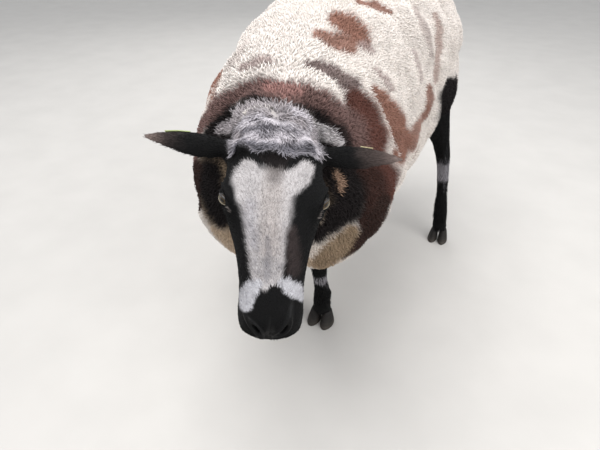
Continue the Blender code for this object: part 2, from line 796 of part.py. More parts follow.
def ear_frame(side):
    """The ear's direction, the way its cup opens, and its rearward direction."""
    root, tip = ear_axis(side)
    outward = (tip - root).normalized()
    opening = (EAR_OPENING - outward * EAR_OPENING.dot(outward)).normalized()
    rearward = outward.cross(opening)
    if rearward.y < 0:
        rearward = -rearward
    return outward, opening, rearward


def ear_section(side, share):
    """The middle of the ear's back at a share of its length, its arc radius and half angle."""
    root, tip = ear_axis(side)
    opening = ear_frame(side)[1]
    shares, halves, angles = zip(*EAR_ROWS)
    half = np.interp(share, shares, halves)
    angle = math.radians(np.interp(share, shares, angles))
    bow = EAR_BOW * math.sin(math.pi * share)
    return root.lerp(tip, share) - opening * bow, half / angle, angle


def ear_point(side, share, angle, inward):
    """A point of the ear: inward is its distance inside the outer face."""
    opening, rearward = ear_frame(side)[1:]
    back, radius, _ = ear_section(side, share)
    middle = back + opening * radius
    reach = max(radius - inward, 0.0004)
    return middle - opening * (math.cos(angle) * reach) + rearward * (math.sin(angle) * reach)


def ear(name, side):
    """The cup of an ear, a shell that closes towards its root."""
    rings = []
    for share, _, _ in EAR_ROWS:
        angle = ear_section(side, share)[2]
        steps = [angle * (2 * step / EAR_ACROSS - 1) for step in range(EAR_ACROSS + 1)]
        outer = [ear_point(side, share, step, 0) for step in steps]
        inner = [ear_point(side, share, step, EAR_THICKNESS) for step in reversed(steps)]
        rings.append(outer + inner)
    made = loft(name, rings, True)
    return combine(made, [ear_cutter("ear_side", side, 0, False)], "INTERSECT")


def ear_cutter(name, side, spread, short):
    """The block beyond the plane on which an ear leaves the head."""
    root, tip = ear_axis(side)
    outward, opening, rearward = ear_frame(side)
    turn = Matrix((rearward, opening, outward)).transposed().to_4x4()
    if turn.determinant() < 0:
        turn = Matrix((-rearward, opening, outward)).transposed().to_4x4()
    place = Matrix.Translation(root.lerp(tip, EAR_CUT_SHARE)) @ turn
    size = 0.032 if short else 0.2
    return block(name, (-size, -size, -spread), (size, size, size), place)


def ear_stub(name, side):
    """The root of an ear, which stays on the head."""
    root, tip = ear_axis(side)
    opening = ear_frame(side)[1]
    inner = root.lerp(tip, -0.15) + opening * EAR_STUB_OFFSET
    outer = root.lerp(tip, EAR_CUT_SHARE + 0.05) + opening * EAR_STUB_OFFSET
    return pipe(name, [inner, (inner + outer) / 2, outer], EAR_STUB_RADIUS, EAR_STUB_SIDES)


def ear_tag(name, side):
    """A plain tag folded over the rear rim of an ear."""
    first, last = TAG_ROWS["left" if side > 0 else "right"]
    rings = []
    for share, _, _ in EAR_ROWS[first : last + 1]:
        _, radius, angle = ear_section(side, share)
        inside = angle - TAG_DEPTH / radius
        clear = angle + GAP / radius
        outside = angle + (GAP + TAG_THICKNESS) / radius
        under = EAR_THICKNESS + GAP
        corners = (
            (inside, -GAP - TAG_THICKNESS),
            (outside, -GAP - TAG_THICKNESS),
            (outside, under + TAG_THICKNESS),
            (inside, under + TAG_THICKNESS),
            (inside, under),
            (clear, under),
            (clear, -GAP),
            (inside, -GAP),
        )
        rings.append([ear_point(side, share, place, inward) for place, inward in corners])
    return loft(name, rings, True)


def claw(name, joints, side, inner):
    """One claw of a foot: a flat sole, a sloping toe, and a flat top under the leg."""
    foot = Vector(joints[-1])
    half = FORE_CLAW_HALF_WIDTH if "fore" in name else HIND_CLAW_HALF_WIDTH
    shift = (half + CLAW_CLEFT / 2) * side * (-1 if inner else 1)
    rings = []
    for share in (0, 0.12, 0.55, 1):
        length = CLAW_HALF_LENGTH * (1 - (1 - CLAW_TOP_SCALE) * share)
        middle = (foot.x + shift, foot.y - 0.004 + CLAW_TOP_BACK * share, (HOOF_HEIGHT - GAP / 2) * share)
        wide = half * (1 - 0.05 * share)
        rings.append(ring(middle, (1, 0, 0), (0, 1, 0), wide, length, length, CLAW_POWER, CLAW_SIDES))
    return loft(name, rings)


def material(target, colour, roughness):
    made = bpy.data.materials.new(target.name + "_surface")
    made.use_nodes = True
    shader = made.node_tree.nodes["Principled BSDF"]
    shader.inputs["Base Color"].default_value = (*colour, 1)
    shader.inputs["Roughness"].default_value = roughness
    made.diffuse_color = (*colour, 1)
    target.data.materials.clear()
    target.data.materials.append(made)


# Colour and roughness by the start of the name.
SURFACES = {
    "torso": ((0.62, 0.56, 0.50), 0.90),
    "neck": ((0.09, 0.05, 0.04), 0.90),
    "tail": ((0.58, 0.50, 0.43), 0.90),
    "scrotum": ((0.45, 0.33, 0.28), 0.70),
    "head": ((0.05, 0.045, 0.045), 0.75),
    "ear_tag": ((0.72, 0.62, 0.12), 0.40),
    "ear": ((0.035, 0.03, 0.03), 0.75),
    "eye": ((0.16, 0.06, 0.015), 0.12),
    "leg": ((0.03, 0.027, 0.026), 0.75),
    "hoof": ((0.10, 0.09, 0.08), 0.50),
}


def build_body():
    """The trunk, neck, tail, scrotum and legs, made whole and then parted."""
    body = trunk("torso", CORE_INSET)
    pieces = [neck("neck_form", CORE_INSET), hanging("tail_form", TAIL_ROWS, 16)]
    pieces.append(hanging("scrotum_form", SCROTUM_ROWS, 20))
    pieces.append(ellipsoid("sheath", SHEATH_CENTRE, SHEATH_SIZE))
    joints = leg_joints()
    for name, places in joints.items():
        rows = FORE_LEG_ROWS if "fore" in name else HIND_LEG_ROWS
        pieces.append(leg(name + "_form", places, rows))
    combine(body, pieces, "UNION")
    melt(body, BODY_VOXEL, BODY_TRIANGLES, 5)
    fleece(body)
    combine(body, [block("floor", (-1, -1, -0.5), (1, 1, HOOF_HEIGHT + GAP / 2))], "DIFFERENCE")
    neck_piece = part_at(body, "neck", neck_cutter)
    combine(neck_piece, [head_cutter("front", GAP)], "DIFFERENCE")
    part_at(body, "tail", tail_cutter)
    part_at(body, "scrotum", scrotum_cutter)
    for name, places in joints.items():
        side = 1 if "left" in name else -1
        cut = FORE_LEG_CUT if "fore" in name else HIND_LEG_CUT
        part_at(body, name, lambda label, spread: leg_cutter(label, side, cut, spread))
        hoof = name.replace("leg", "hoof")
        claw(hoof + "_inner", places, side, True)
        claw(hoof + "_outer", places, side, False)


def build_head():
    """The head, eyes, ears and tags, made in the head's frame and then set in place."""
    skull = head("head")
    open_head(skull)
    pieces = [skull]
    for word, side in (("left", 1), ("right", -1)):
        across, along, up = EYE_CENTRE
        place = in_head(side * across, along, up)
        pieces.append(ellipsoid("eye_" + word, place, (EYE_RADIUS,) * 3, None, 14, 9))
        pieces.append(ear("ear_" + word, side))
        pieces.append(ear_tag("ear_tag_" + word, side))
    for piece in pieces:
        piece.data.transform(head_frame())
    combine(skull, [head_cutter("back", 0.0)], "INTERSECT")


def main():
    for existing in list(bpy.data.objects):
        bpy.data.objects.remove(existing)
    collection = bpy.data.collections.new(COLLECTION)
    bpy.context.scene.collection.children.link(collection)
    build_body()
    build_head()
    for made in collection.objects:
        made.data.transform(Matrix.Translation(-ORIGIN))
        colour, roughness = next(look for start, look in SURFACES.items() if made.name.startswith(start))
        material(made, colour, roughness)


main()
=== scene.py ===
"""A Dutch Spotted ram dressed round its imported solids: skin, short wool, hair, eyes, claws and tags."""

import math

import bmesh
import bpy
import numpy as np
from bpy.props import FloatProperty, FloatVectorProperty, IntProperty, PointerProperty
from mathutils import Matrix, Vector
from mathutils.bvhtree import BVHTree


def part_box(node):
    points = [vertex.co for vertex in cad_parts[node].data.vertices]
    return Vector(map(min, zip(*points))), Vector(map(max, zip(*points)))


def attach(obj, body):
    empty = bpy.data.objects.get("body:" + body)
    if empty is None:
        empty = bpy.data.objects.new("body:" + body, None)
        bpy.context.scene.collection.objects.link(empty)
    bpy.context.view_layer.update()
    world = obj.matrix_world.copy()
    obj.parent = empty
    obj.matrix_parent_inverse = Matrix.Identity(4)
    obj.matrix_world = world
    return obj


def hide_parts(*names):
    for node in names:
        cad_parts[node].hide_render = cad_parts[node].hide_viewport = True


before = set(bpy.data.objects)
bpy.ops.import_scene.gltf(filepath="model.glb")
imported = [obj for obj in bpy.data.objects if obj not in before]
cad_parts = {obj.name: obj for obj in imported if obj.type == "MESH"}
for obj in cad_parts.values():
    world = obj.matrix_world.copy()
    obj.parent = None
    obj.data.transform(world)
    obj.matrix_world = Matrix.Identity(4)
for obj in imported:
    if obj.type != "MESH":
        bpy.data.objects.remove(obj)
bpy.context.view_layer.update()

bl_info = {
    "name": "Dutch Spotted Ram",
    "version": (1, 0, 0),
    "blender": (4, 5, 0),
    "location": "View3D > Sidebar > Ram",
    "description": "Builds the skin, wool, hair, eyes, claws and stage of a life-size ram",
    "category": "Add Mesh",
}

# Sizes in metres: the solids' own, and those of the lids and nostrils that the skin adds.
# SHIFT takes a place of the ram's build to the frame.
SHIFT = Vector((-0.0392, 0.0057, 0.0))
POLL = Vector((0.074, -0.433, 0.625))
HEAD_TURN = math.radians(24.9)
HEAD_DROP = math.radians(21.7)
HEAD_LEAN = math.radians(5.0)
HEAD_CUT_TOP = -0.045
HEAD_CUT_THROAT = 0.0
NECK_CUT_POINT = Vector((0.0, -0.300, 0.620))
NECK_CUT_DIRECTION = Vector((0.10, -0.84, 0.54))
EYE_CENTRE = (0.0588, 0.1005, -0.0268)
EYE_RADIUS = 0.0135
EYE_OUTWARD = Vector((0.68, -0.58, 0.42))
EYE_ALONG = Vector((-0.70, -0.70, 0.05))
LID_HALF_LENGTH = 0.0118
LID_UPPER_HEIGHT = 0.0046
LID_LOWER_HEIGHT = 0.0044
LID_RIMS = {"upper": 0.0014, "lower": 0.0006}
LID_STEPS = 24
PUPIL_HALF = (0.0048, 0.0018)
# Distance from the poll, half width, top with its wool, and bottom of the head.
HEAD_FORM = (
    (-0.050, 0.058, 0.035, -0.135),
    (0.020, 0.067, 0.045, -0.160),
    (0.060, 0.069, 0.030, -0.162),
    (0.098, 0.068, 0.010, -0.154),
    (0.165, 0.048, -0.015, -0.131),
    (0.205, 0.042, -0.028, -0.117),
    (0.269, 0.032, -0.060, -0.092),
)
MOUTH_HEIGHT = -0.0865
MOUTH_CORNER = 0.203
MOUTH_FRONT = 0.269
MOUTH_DROP = math.radians(5)
MUZZLE_PLACE = (0, 0.252, -0.070)
NOSTRIL_PLACE = (0.0165, 0.258, -0.0680)
NOSTRIL_SIZE = (0.0085, 0.0030)
NOSTRIL_SLANT = math.radians(48)
EAR_ROOT = (0.050, 0.006, -0.024)
EAR_TIPS = {1: (0.186, 0.016, -0.024), -1: (0.186, 0.002, -0.018)}
TAIL_FRONT = 0.566
SCROTUM_TOP = 0.336
# How far from these places the skin is made finer.
MUZZLE_FINE = 0.045
EYE_FINE = 0.026
NOSTRIL_FINE = 0.016
# Where the topknot's hair parts, from the poll towards the nose.
KNOT_PARTING = -0.024
# Each pair says where a kind of coat starts to show and where it is full. A reach of 1 is the head's form.
CUT_EDGE = (-0.006, 0.006)
FACE_EDGE = (1.28, 1.16)
BROW_EDGE = (0.048, 0.040)
EAR_EDGE = (0.046, 0.038)
EAR_ROOT_EDGE = (0.066, 0.073)
KNOT_LOW_EDGE = (-0.030, -0.012)
KNOT_FRONT_EDGE = (0.056, 0.042)
KNOT_SIDE_EDGE = (0.072, 0.064)
KNOT_BACK_EDGE = (-0.034, -0.026)
BEHIND_KNOT_EDGE = (-0.022, -0.034)
LEG_EDGE = (1.75, 1.35)
NECK_EDGE = (-0.02, 0.02)
HEAD_END = 0.3
THROAT_HEIGHT = -0.15
# Where the trunk's wool is divided into pieces, from the shoulder to the rump.
WOOL_STATIONS = (-0.16, 0.03, 0.22, 0.40)
# Joints of each leg from the top down, and its half widths across and along at them.
LEGS = {
    "fore_left": (
        (0.115, -0.205, 0.480),
        (0.095, -0.145, 0.365),
        (0.050, -0.186, 0.232),
        (0.045, -0.153, 0.092),
        (0.046, -0.156, 0.040),
    ),
    "fore_right": (
        (-0.115, -0.205, 0.480),
        (-0.108, -0.145, 0.365),
        (-0.088, -0.172, 0.232),
        (-0.084, -0.140, 0.092),
        (-0.084, -0.143, 0.040),
    ),
    "hind_left": (
        (0.135, 0.350, 0.560),
        (0.168, 0.315, 0.430),
        (0.216, 0.372, 0.278),
        (0.242, 0.350, 0.095),
        (0.250, 0.335, 0.040),
    ),
    "hind_right": (
        (-0.105, 0.365, 0.560),
        (-0.132, 0.330, 0.430),
        (-0.150, 0.402, 0.278),
        (-0.156, 0.380, 0.095),
        (-0.160, 0.366, 0.040),
    ),
}
FORE_WIDTHS = ((0.062, 0.088), (0.046, 0.058), (0.0255, 0.0275), (0.022, 0.025), (0.029, 0.030))
HIND_WIDTHS = ((0.070, 0.120), (0.052, 0.080), (0.0225, 0.034), (0.022, 0.025), (0.027, 0.029))
WOOL_LINE = {"fore": 0.335, "hind": 0.440}
FIRST_HIND_LEG = 2

FLESH = ("torso", "neck", "tail", "scrotum", *[f"leg_{leg}" for leg in LEGS], "head", "ear_left", "ear_right")
CLAWS = [f"hoof_{leg}_{place}" for leg in LEGS for place in ("inner", "outer")]
CLAW_LEVELS = (0.15, 0.35, 0.55, 0.75)
TAG_COLOURS = {"left": (0.55, 0.47, 0.27), "right": (0.42, 0.50, 0.19)}
COLOUR_MAP = "coat_colour"
BARE_MAP = "bare_skin"
COAT_ZONES = ("trunk", "neck", "tail", "knot", "face", "ear", "leg", "scrotum")
PATCH_SIZE = 0.003
# Places drawn for each root that is kept.
DRAWN_PER_ROOT = 2.6
# How far the copies of the solids grow, so that they join across their gaps.
JOINING_GROWTH = 0.0006
# Painted shade: the skin under the coat is a little darker than the coat over it.
SKIN_PAINTED_SHADE = 0.82

# The photograph's focal length and middle in pixels of its 600 by 450 frame.
FOCAL = 479.0
IMAGE_WIDTH = 600
IMAGE_MIDDLE = (300, 225)
SENSOR_WIDTH = 36
# How many pixels a metre of distance counts for in a marking's stroke.
DEPTH_SCALE = 130.0
# How far a marking's line of sight may pass the skin.
MISS_LIMIT = 0.03

# Colours as light, not as screen values.
WHITE = (0.84, 0.78, 0.73)
WOOL_WHITE = (0.80, 0.76, 0.77)
CREAM = (0.56, 0.42, 0.29)
# The throat's real cream, darkened with painted shade for the throat in the head's shadow.
SHADED_THROAT_CREAM = (0.32, 0.235, 0.155)
BROWN = (0.30, 0.155, 0.115)
GREY_BROWN = (0.38, 0.30, 0.28)
ASH_BROWN = (0.150, 0.098, 0.092)
RUSSET = (0.125, 0.052, 0.040)
COLLAR_RED = (0.34, 0.185, 0.165)
RUSSET_BROWN = (0.165, 0.100, 0.090)
DARK_RUSSET = (0.048, 0.022, 0.017)
DARK_BROWN = (0.035, 0.018, 0.014)
SOFT_BROWN = (0.060, 0.044, 0.042)
NEAR_BLACK = (0.011, 0.0085, 0.0085)
BLACK = (0.0042, 0.0040, 0.0042)
SLATE = (0.15, 0.145, 0.16)
TUFT_GREY = (0.40, 0.365, 0.375)
KNOT_GREY = (0.62, 0.585, 0.62)
KNOT_DARK = (0.150, 0.146, 0.168)
PALE_GREY = (0.36, 0.345, 0.37)
TAUPE = (0.042, 0.034, 0.033)
EAR_BROWN = (0.075, 0.056, 0.051)
EAR_TIP = (0.19, 0.145, 0.130)
FACE_WHITE = (0.50, 0.475, 0.475)
NOSE_WHITE = (0.35, 0.33, 0.33)
LIP_WHITE = (0.47, 0.465, 0.49)
WARM_WHITE = (0.42, 0.37, 0.345)
PEACH = (0.40, 0.26, 0.18)
SKIN_PINK = (0.40, 0.22, 0.18)

# Where the photograph's markings lie on the skin, filled once the skin is made.
LAID = {}


# Places on the ram


def smooth_step(low, high, value):
    """0 below low, 1 above high and an even curve between."""
    share = np.clip((value - low) / (high - low), 0, 1)
    return share * share * (3 - 2 * share)


def head_matrix():
    """The head's frame: the poll at its origin, +X to the ram's left and -Y towards the nose."""
    turn = Matrix.Rotation(HEAD_TURN, 4, "Z") @ Matrix.Rotation(HEAD_DROP, 4, "X")
    return Matrix.Translation(POLL + SHIFT) @ turn @ Matrix.Rotation(HEAD_LEAN, 4, "Y")


def in_head(across, along, up):
    """A point of the head from its distance to the left, from the poll to the nose, and upward."""
    return Vector((across, -along, up))


def seen_from(points, matrix):
    """Points in the frame of a matrix."""
    inverse = np.array(matrix.inverted())
    return points @ inverse[:3, :3].T + inverse[:3, 3]


# Large primes that scatter the cells of the noise.
HASH_PRIMES = (73856093, 19349663, 83492791)


def rumple(points, size, seed):
    """Smooth noise from -1 to 1 with lumps of the given size."""
    scaled = points / size + 17.3 * seed
    cell = np.floor(scaled).astype(np.int64)
    share = scaled - cell
    share = share * share * (3 - 2 * share)
    total = np.zeros(len(points))
    for corner in np.ndindex(2, 2, 2):
        mixed = np.bitwise_xor.reduce((cell + np.array(corner)) * np.array(HASH_PRIMES), axis=1)
        mixed = ((mixed ^ (mixed >> 13)) * 1274126177) & 0xFFFFFF
        total += (mixed / 0x7FFFFF - 1) * np.prod(np.where(corner, share, 1 - share), axis=1)
    return total


def leg_share(points):
    """How much each point lies on the short hair of a leg, and the leg's number."""
    best = np.zeros(len(points))
    number = np.zeros(len(points), int)
    for index, (name, joints) in enumerate(LEGS.items()):
        path = np.array(joints) + np.array(SHIFT)
        widths = np.array(FORE_WIDTHS if "fore" in name else HIND_WIDTHS)
        height = points[:, 2]
        centre = [np.interp(height, path[::-1, 2], path[::-1, axis]) for axis in (0, 1)]
        half = [np.interp(height, path[::-1, 2], widths[::-1, axis]) for axis in (0, 1)]
        ratio = np.hypot((points[:, 0] - centre[0]) / half[0], (points[:, 1] - centre[1]) / half[1])
        line = WOOL_LINE["fore" if "fore" in name else "hind"]
        share = smooth_step(line + 0.012, line - 0.022, height) * smooth_step(*LEG_EDGE, ratio)
        number[share > best] = index
        best = np.maximum(best, share)
    return best, number


def ear_share(head):
    """How much each point of the head's frame lies on an ear."""
    best = np.zeros(len(head))
    for side, tip in EAR_TIPS.items():
        root = np.array(in_head(side * EAR_ROOT[0], *EAR_ROOT[1:]))
        line = np.array(in_head(side * tip[0], *tip[1:])) - root
        share = np.clip((head - root) @ line / (line @ line), 0, 1.1)
        near = np.linalg.norm(head - root - share[:, None] * line, axis=1)
        out = smooth_step(*EAR_ROOT_EDGE, side * head[:, 0])
        best = np.maximum(best, smooth_step(*EAR_EDGE, near) * out)
    return best


def ahead_of_cut(along, up):
    """How much each point lies ahead of the cut between the head and the neck."""
    top = np.array((HEAD_CUT_TOP, 0.0))
    throat = np.array((HEAD_CUT_THROAT, THROAT_HEIGHT))
    edge = (throat - top) / np.linalg.norm(throat - top)
    return smooth_step(*CUT_EDGE, (along - top[0]) * -edge[1] + (up - top[1]) * edge[0])


def near_eye(head):
    """How much each point of the head's frame lies on an eye's lids or its brow."""
    best = np.zeros(len(head))
    for side in (-1, 1):
        away = np.linalg.norm(head - np.array(in_head(side * EYE_CENTRE[0], *EYE_CENTRE[1:])), axis=1)
        best = np.maximum(best, smooth_step(*BROW_EDGE, away))
    return best


def head_shares(head):
    """How much each point of the head's frame belongs to the face, the ears and the topknot."""
    across, along, up = head[:, 0], -head[:, 1], head[:, 2]
    form = np.array(HEAD_FORM)
    half, high, low = (np.interp(along, form[:, 0], form[:, axis]) for axis in (1, 2, 3))
    reach = np.hypot(across / half, (up - (high + low) / 2) / ((high - low) / 2))
    ahead = ahead_of_cut(along, up)
    face = ahead * np.maximum(smooth_step(*FACE_EDGE, reach), near_eye(head)) * (along < HEAD_END)
    ear = ear_share(head) * ahead
    high = smooth_step(*KNOT_LOW_EDGE, up) * smooth_step(*KNOT_FRONT_EDGE, along + 5 * across**2)
    knot = high * smooth_step(*KNOT_SIDE_EDGE, np.abs(across)) * smooth_step(*KNOT_BACK_EDGE, along)
    knot *= ahead * (1 - ear)
    behind_knot = high * smooth_step(*BEHIND_KNOT_EDGE, along)
    return np.clip(face - ear - knot - behind_knot, 0, 1), ear, knot


def scrotum_share(points):
    """How much each point lies low, behind and near the middle, where the scrotum hangs."""
    low = smooth_step(SCROTUM_TOP + 0.01, SCROTUM_TOP - 0.01, points[:, 2])
    behind = smooth_step(0.27, 0.30, points[:, 1]) * smooth_step(0.47, 0.44, points[:, 1])
    middle = smooth_step(0.075, 0.060, np.abs(points[:, 0] - float(SHIFT.x) - 0.017))
    return low * behind * middle


def zones(points):
    """How much each point belongs to each kind of coat, by name."""
    head = seen_from(points, head_matrix())
    face, ear, knot = head_shares(head)
    rest = np.clip(1 - face - ear - knot, 0, 1)
    legs, number = leg_share(points)
    legs = legs * rest
    scrotum = scrotum_share(points) * (1 - legs)
    wool = rest * (1 - legs) * (1 - scrotum)
    cut = np.array(NECK_CUT_DIRECTION.normalized())
    neck = wool * smooth_step(*NECK_EDGE, (points - np.array(NECK_CUT_POINT + SHIFT)) @ cut)
    tail = wool * smooth_step(TAIL_FRONT, TAIL_FRONT + 0.02, points[:, 1] - float(SHIFT.y))
    return {
        "face": face,
        "ear": ear,
        "knot": knot,
        "leg": legs,
        "leg_number": number,
        "scrotum": scrotum,
        "neck": neck,
        "tail": tail,
        "trunk": np.clip(wool - neck - tail, 0, 1),
        "head_place": head * np.array((1, -1, 1)),
    }


# Brush strokes and markings


def stroke(points, path, seed, wander=0.006, soft=0.35, lump=0.028):
    """How much each point lies under a brush stroke: path holds places with their radii."""
    path = np.array(path, float)
    shifted = points + wander * np.column_stack([rumple(points, lump, seed + 7 * axis) for axis in range(3)])
    nearest = np.full(len(points), 9.0)
    for start, end in zip(path, path[1:] if len(path) > 1 else path):
        line = end[:3] - start[:3]
        share = np.clip((shifted - start[:3]) @ line / max(line @ line, 1e-9), 0, 1)
        place = start[:3] + share[:, None] * line
        radius = start[3] + share * (end[3] - start[3])
        nearest = np.minimum(nearest, np.linalg.norm(shifted - place, axis=1) / radius)
    return smooth_step(1 + soft, 1 - soft, nearest)


# Markings that the photograph shows: colour, strength, and places with radii in pixels of its
# 600 by 450 frame. They are laid on the skin along the camera's lines of sight.
SEEN_WOOL_MARKS = {
    "withers patch, upper": (BROWN, 1.0, ((335, 20, 8), (347, 25, 11), (357, 35, 11), (365, 45, 6))),
    "withers patch, lower": (BROWN, 0.95, ((319, 36, 6), (333, 41, 9), (349, 47, 8))),
    "withers patch, trail": (GREY_BROWN, 0.75, ((363, 46, 5), (372, 54, 3.5))),
    "back patch": (BROWN, 0.95, ((358, 2, 4), (374, 6, 5.5), (387, 13, 3.5))),
    "right shoulder streak": (GREY_BROWN, 0.9, ((244, 70, 3), (254, 64, 5), (267, 62, 5), (275, 65, 2))),
    "right shoulder edge": (GREY_BROWN, 0.35, ((249, 42, 3), (238, 58, 4), (230, 71, 3))),
    "left shoulder streak": (ASH_BROWN, 0.9, ((306, 65, 3), (321, 68, 5.5), (337, 76, 7.5), (351, 88, 9))),
    "white band of the withers": (WHITE, 1.0, (
        (222, 90, 4), (244, 80, 6), (264, 72, 6), (288, 74, 6), (308, 79, 7), (325, 88, 7), (338, 99, 5),
    )),
    "left of the neck": (RUSSET, 1.0, (
        (354, 100, 11), (364, 116, 17), (370, 136, 21), (376, 158, 22), (384, 178, 17), (388, 192, 12),
    )),
    "collar": (RUSSET_BROWN, 1.0, (
        (203, 127, 6), (213, 112, 8), (227, 102, 9), (243, 95, 10), (261, 91, 12), (282, 93, 12),
        (300, 96, 13), (316, 102, 14), (332, 114, 15), (348, 128, 17), (356, 150, 18),
    )),
    "red of the collar": (COLLAR_RED, 0.9, ((268, 88, 5), (284, 91, 7), (298, 92, 6))),
    "dark inside of the collar": (NEAR_BLACK, 0.9, (
        (221, 124, 4), (231, 112, 5), (242, 105, 5), (256, 101, 5), (284, 110, 6), (302, 112, 6),
        (318, 119, 8),
    )),
    "dark behind the left ear": (NEAR_BLACK, 0.9, ((318, 119, 7), (332, 128, 8), (344, 142, 9))),
    "left flank of the neck": (BROWN, 1.0, (
        (374, 90, 5), (386, 107, 9), (396, 124, 11), (402, 138, 12), (401, 155, 10),
    )),
    "pale line of the neck": (WHITE, 0.6, (
        (368, 83, 1.0), (377, 102, 1.4), (385, 122, 1.5), (392, 140, 1.7), (398, 154, 1.7),
    )),
    "left side streak": (GREY_BROWN, 0.75, ((374, 70, 2.5), (383, 79, 3.5), (390, 91, 3))),
    "left rib patch": (BROWN, 0.9, (
        (429, 87, 4), (430, 100, 5), (425, 113, 5), (416, 128, 5), (412, 146, 6),
    )),
    "left rib streak": (GREY_BROWN, 0.6, ((412, 51, 2.2), (418, 66, 3), (421, 79, 2.6))),
    "left loin streak": (GREY_BROWN, 0.55, ((413, 8, 3), (421, 22, 4), (427, 40, 4), (431, 55, 3))),
    "left rump streak": (BROWN, 0.55, ((434, 14, 3), (438, 34, 4), (437, 56, 4), (434, 80, 4))),
    "black of the left thigh": (NEAR_BLACK, 1.0, (
        (450, 85, 7), (446, 98, 12), (443, 115, 14), (438, 130, 12),
    )),
    "russet below the left ear": (DARK_RUSSET, 1.0, (
        (362, 168, 14), (374, 186, 16), (372, 204, 14), (364, 220, 9),
    )),
    "dark side of the neck": (NEAR_BLACK, 1.0, (
        (343, 165, 12), (349, 190, 18), (348, 207, 16), (332, 219, 13), (318, 233, 9),
    )),
    "dark of the left brisket": (DARK_BROWN, 1.0, (
        (384, 200, 8), (379, 212, 10), (370, 227, 10), (358, 241, 8), (345, 253, 6),
    )),
    "peach under the left ear": (PEACH, 0.85, ((335, 172, 3.5), (341, 182, 4), (340, 191, 3))),
    # The throat's cream, darkened with painted shade under the head.
    "shaded cream of the throat": (SHADED_THROAT_CREAM, 1.0, ((350, 232, 8), (337, 247, 12), (323, 261, 12))),
    "dark right ruff": (NEAR_BLACK, 1.0, (
        (213, 143, 12), (208, 157, 15), (209, 178, 17), (214, 200, 14), (222, 218, 10),
    )),
    "pale tuft by the right ear": (TUFT_GREY, 1.0, ((220, 131, 4), (229, 127, 6), (239, 120, 5))),
    "pale tuft by the left ear": (WOOL_WHITE, 0.8, (
        (314, 128, 6), (322, 131, 7), (331, 137, 7), (338, 143, 5),
    )),
    "pale tuft behind the topknot": (TUFT_GREY, 1.0, (
        (236, 114, 4), (249, 108, 5), (266, 105, 4), (285, 108, 4), (301, 114, 4),
    )),
    "brown right edge": (DARK_BROWN, 1.0, (
        (204, 135, 7), (197, 152, 8), (195, 172, 8), (196, 192, 7), (200, 206, 4),
    )),
}

# Markings of the wool round the head, in metres of the head: to its left, towards the nose and up.
RUFF_MARKS = {
    "dark ruff": (NEAR_BLACK, 1.0, (
        (-0.088, -0.040, -0.095, 0.080), (-0.035, 0.020, -0.100, 0.085), (0.035, 0.020, -0.100, 0.085),
        (0.088, -0.040, -0.095, 0.080),
    )),
    # The throat's cream, darkened with painted shade under the head.
    "throat": (SHADED_THROAT_CREAM, 0.9, (
        (-0.09, -0.055, -0.20, 0.070), (0.0, -0.01, -0.22, 0.085), (0.09, -0.055, -0.19, 0.078),
    )),
}

# Markings on the sides that the photograph doesn't show, in metres of the frame.
HIDDEN_WOOL_MARKS = {
    "cream of the belly": (CREAM, 0.40, ((0.02, -0.15, 0.27, 0.09), (0.02, 0.15, 0.29, 0.10))),
    "croup patch": (BROWN, 0.9, ((-0.040, 0.360, 0.760, 0.036), (0.015, 0.400, 0.755, 0.030))),
    "rump patch": (BROWN, 0.9, ((0.110, 0.500, 0.600, 0.030), (0.130, 0.480, 0.530, 0.036))),
    "tail patch": (BROWN, 0.85, ((-0.010, 0.620, 0.560, 0.030), (-0.010, 0.620, 0.500, 0.026))),
    "right back patch": (BROWN, 0.95, ((-0.130, -0.020, 0.720, 0.030), (-0.175, 0.010, 0.650, 0.034))),
    "right side patch": (BROWN, 0.95, ((-0.220, 0.120, 0.540, 0.045), (-0.225, 0.170, 0.470, 0.040))),
    "right side speck": (GREY_BROWN, 0.85, (
        (-0.220, -0.060, 0.560, 0.018), (-0.225, -0.050, 0.510, 0.014),
    )),
    "right shoulder patch": (BROWN, 1.0, (
        (-0.160, -0.260, 0.620, 0.030), (-0.210, -0.200, 0.520, 0.048), (-0.215, -0.180, 0.430, 0.045),
    )),
    "right hip patch": (BROWN, 0.9, ((-0.175, 0.330, 0.660, 0.036), (-0.205, 0.380, 0.590, 0.030))),
    "left flank patch": (BROWN, 0.9, ((0.190, 0.060, 0.500, 0.030), (0.185, 0.040, 0.430, 0.030))),
    "black of the left thigh": (NEAR_BLACK, 1.0, (
        (0.185, 0.290, 0.470, 0.055), (0.180, 0.320, 0.430, 0.065),
    )),
    "right of the neck": (RUSSET_BROWN, 1.0, (
        (-0.130, -0.330, 0.600, 0.030), (-0.170, -0.300, 0.520, 0.044), (-0.175, -0.290, 0.440, 0.040),
    )),
    "dark forearm, left": (NEAR_BLACK, 1.0, ((0.120, -0.230, 0.400, 0.030), (0.100, -0.215, 0.340, 0.034))),
    "dark forearm, right": (NEAR_BLACK, 1.0, (
        (-0.170, -0.220, 0.400, 0.034), (-0.140, -0.190, 0.340, 0.034),
    )),
    "black of the right thigh": (NEAR_BLACK, 1.0, (
        (-0.165, 0.350, 0.490, 0.050), (-0.165, 0.350, 0.430, 0.060),
    )),
    "cream of the brisket": (CREAM, 0.85, ((0.030, -0.370, 0.340, 0.055), (-0.060, -0.380, 0.370, 0.055))),
}

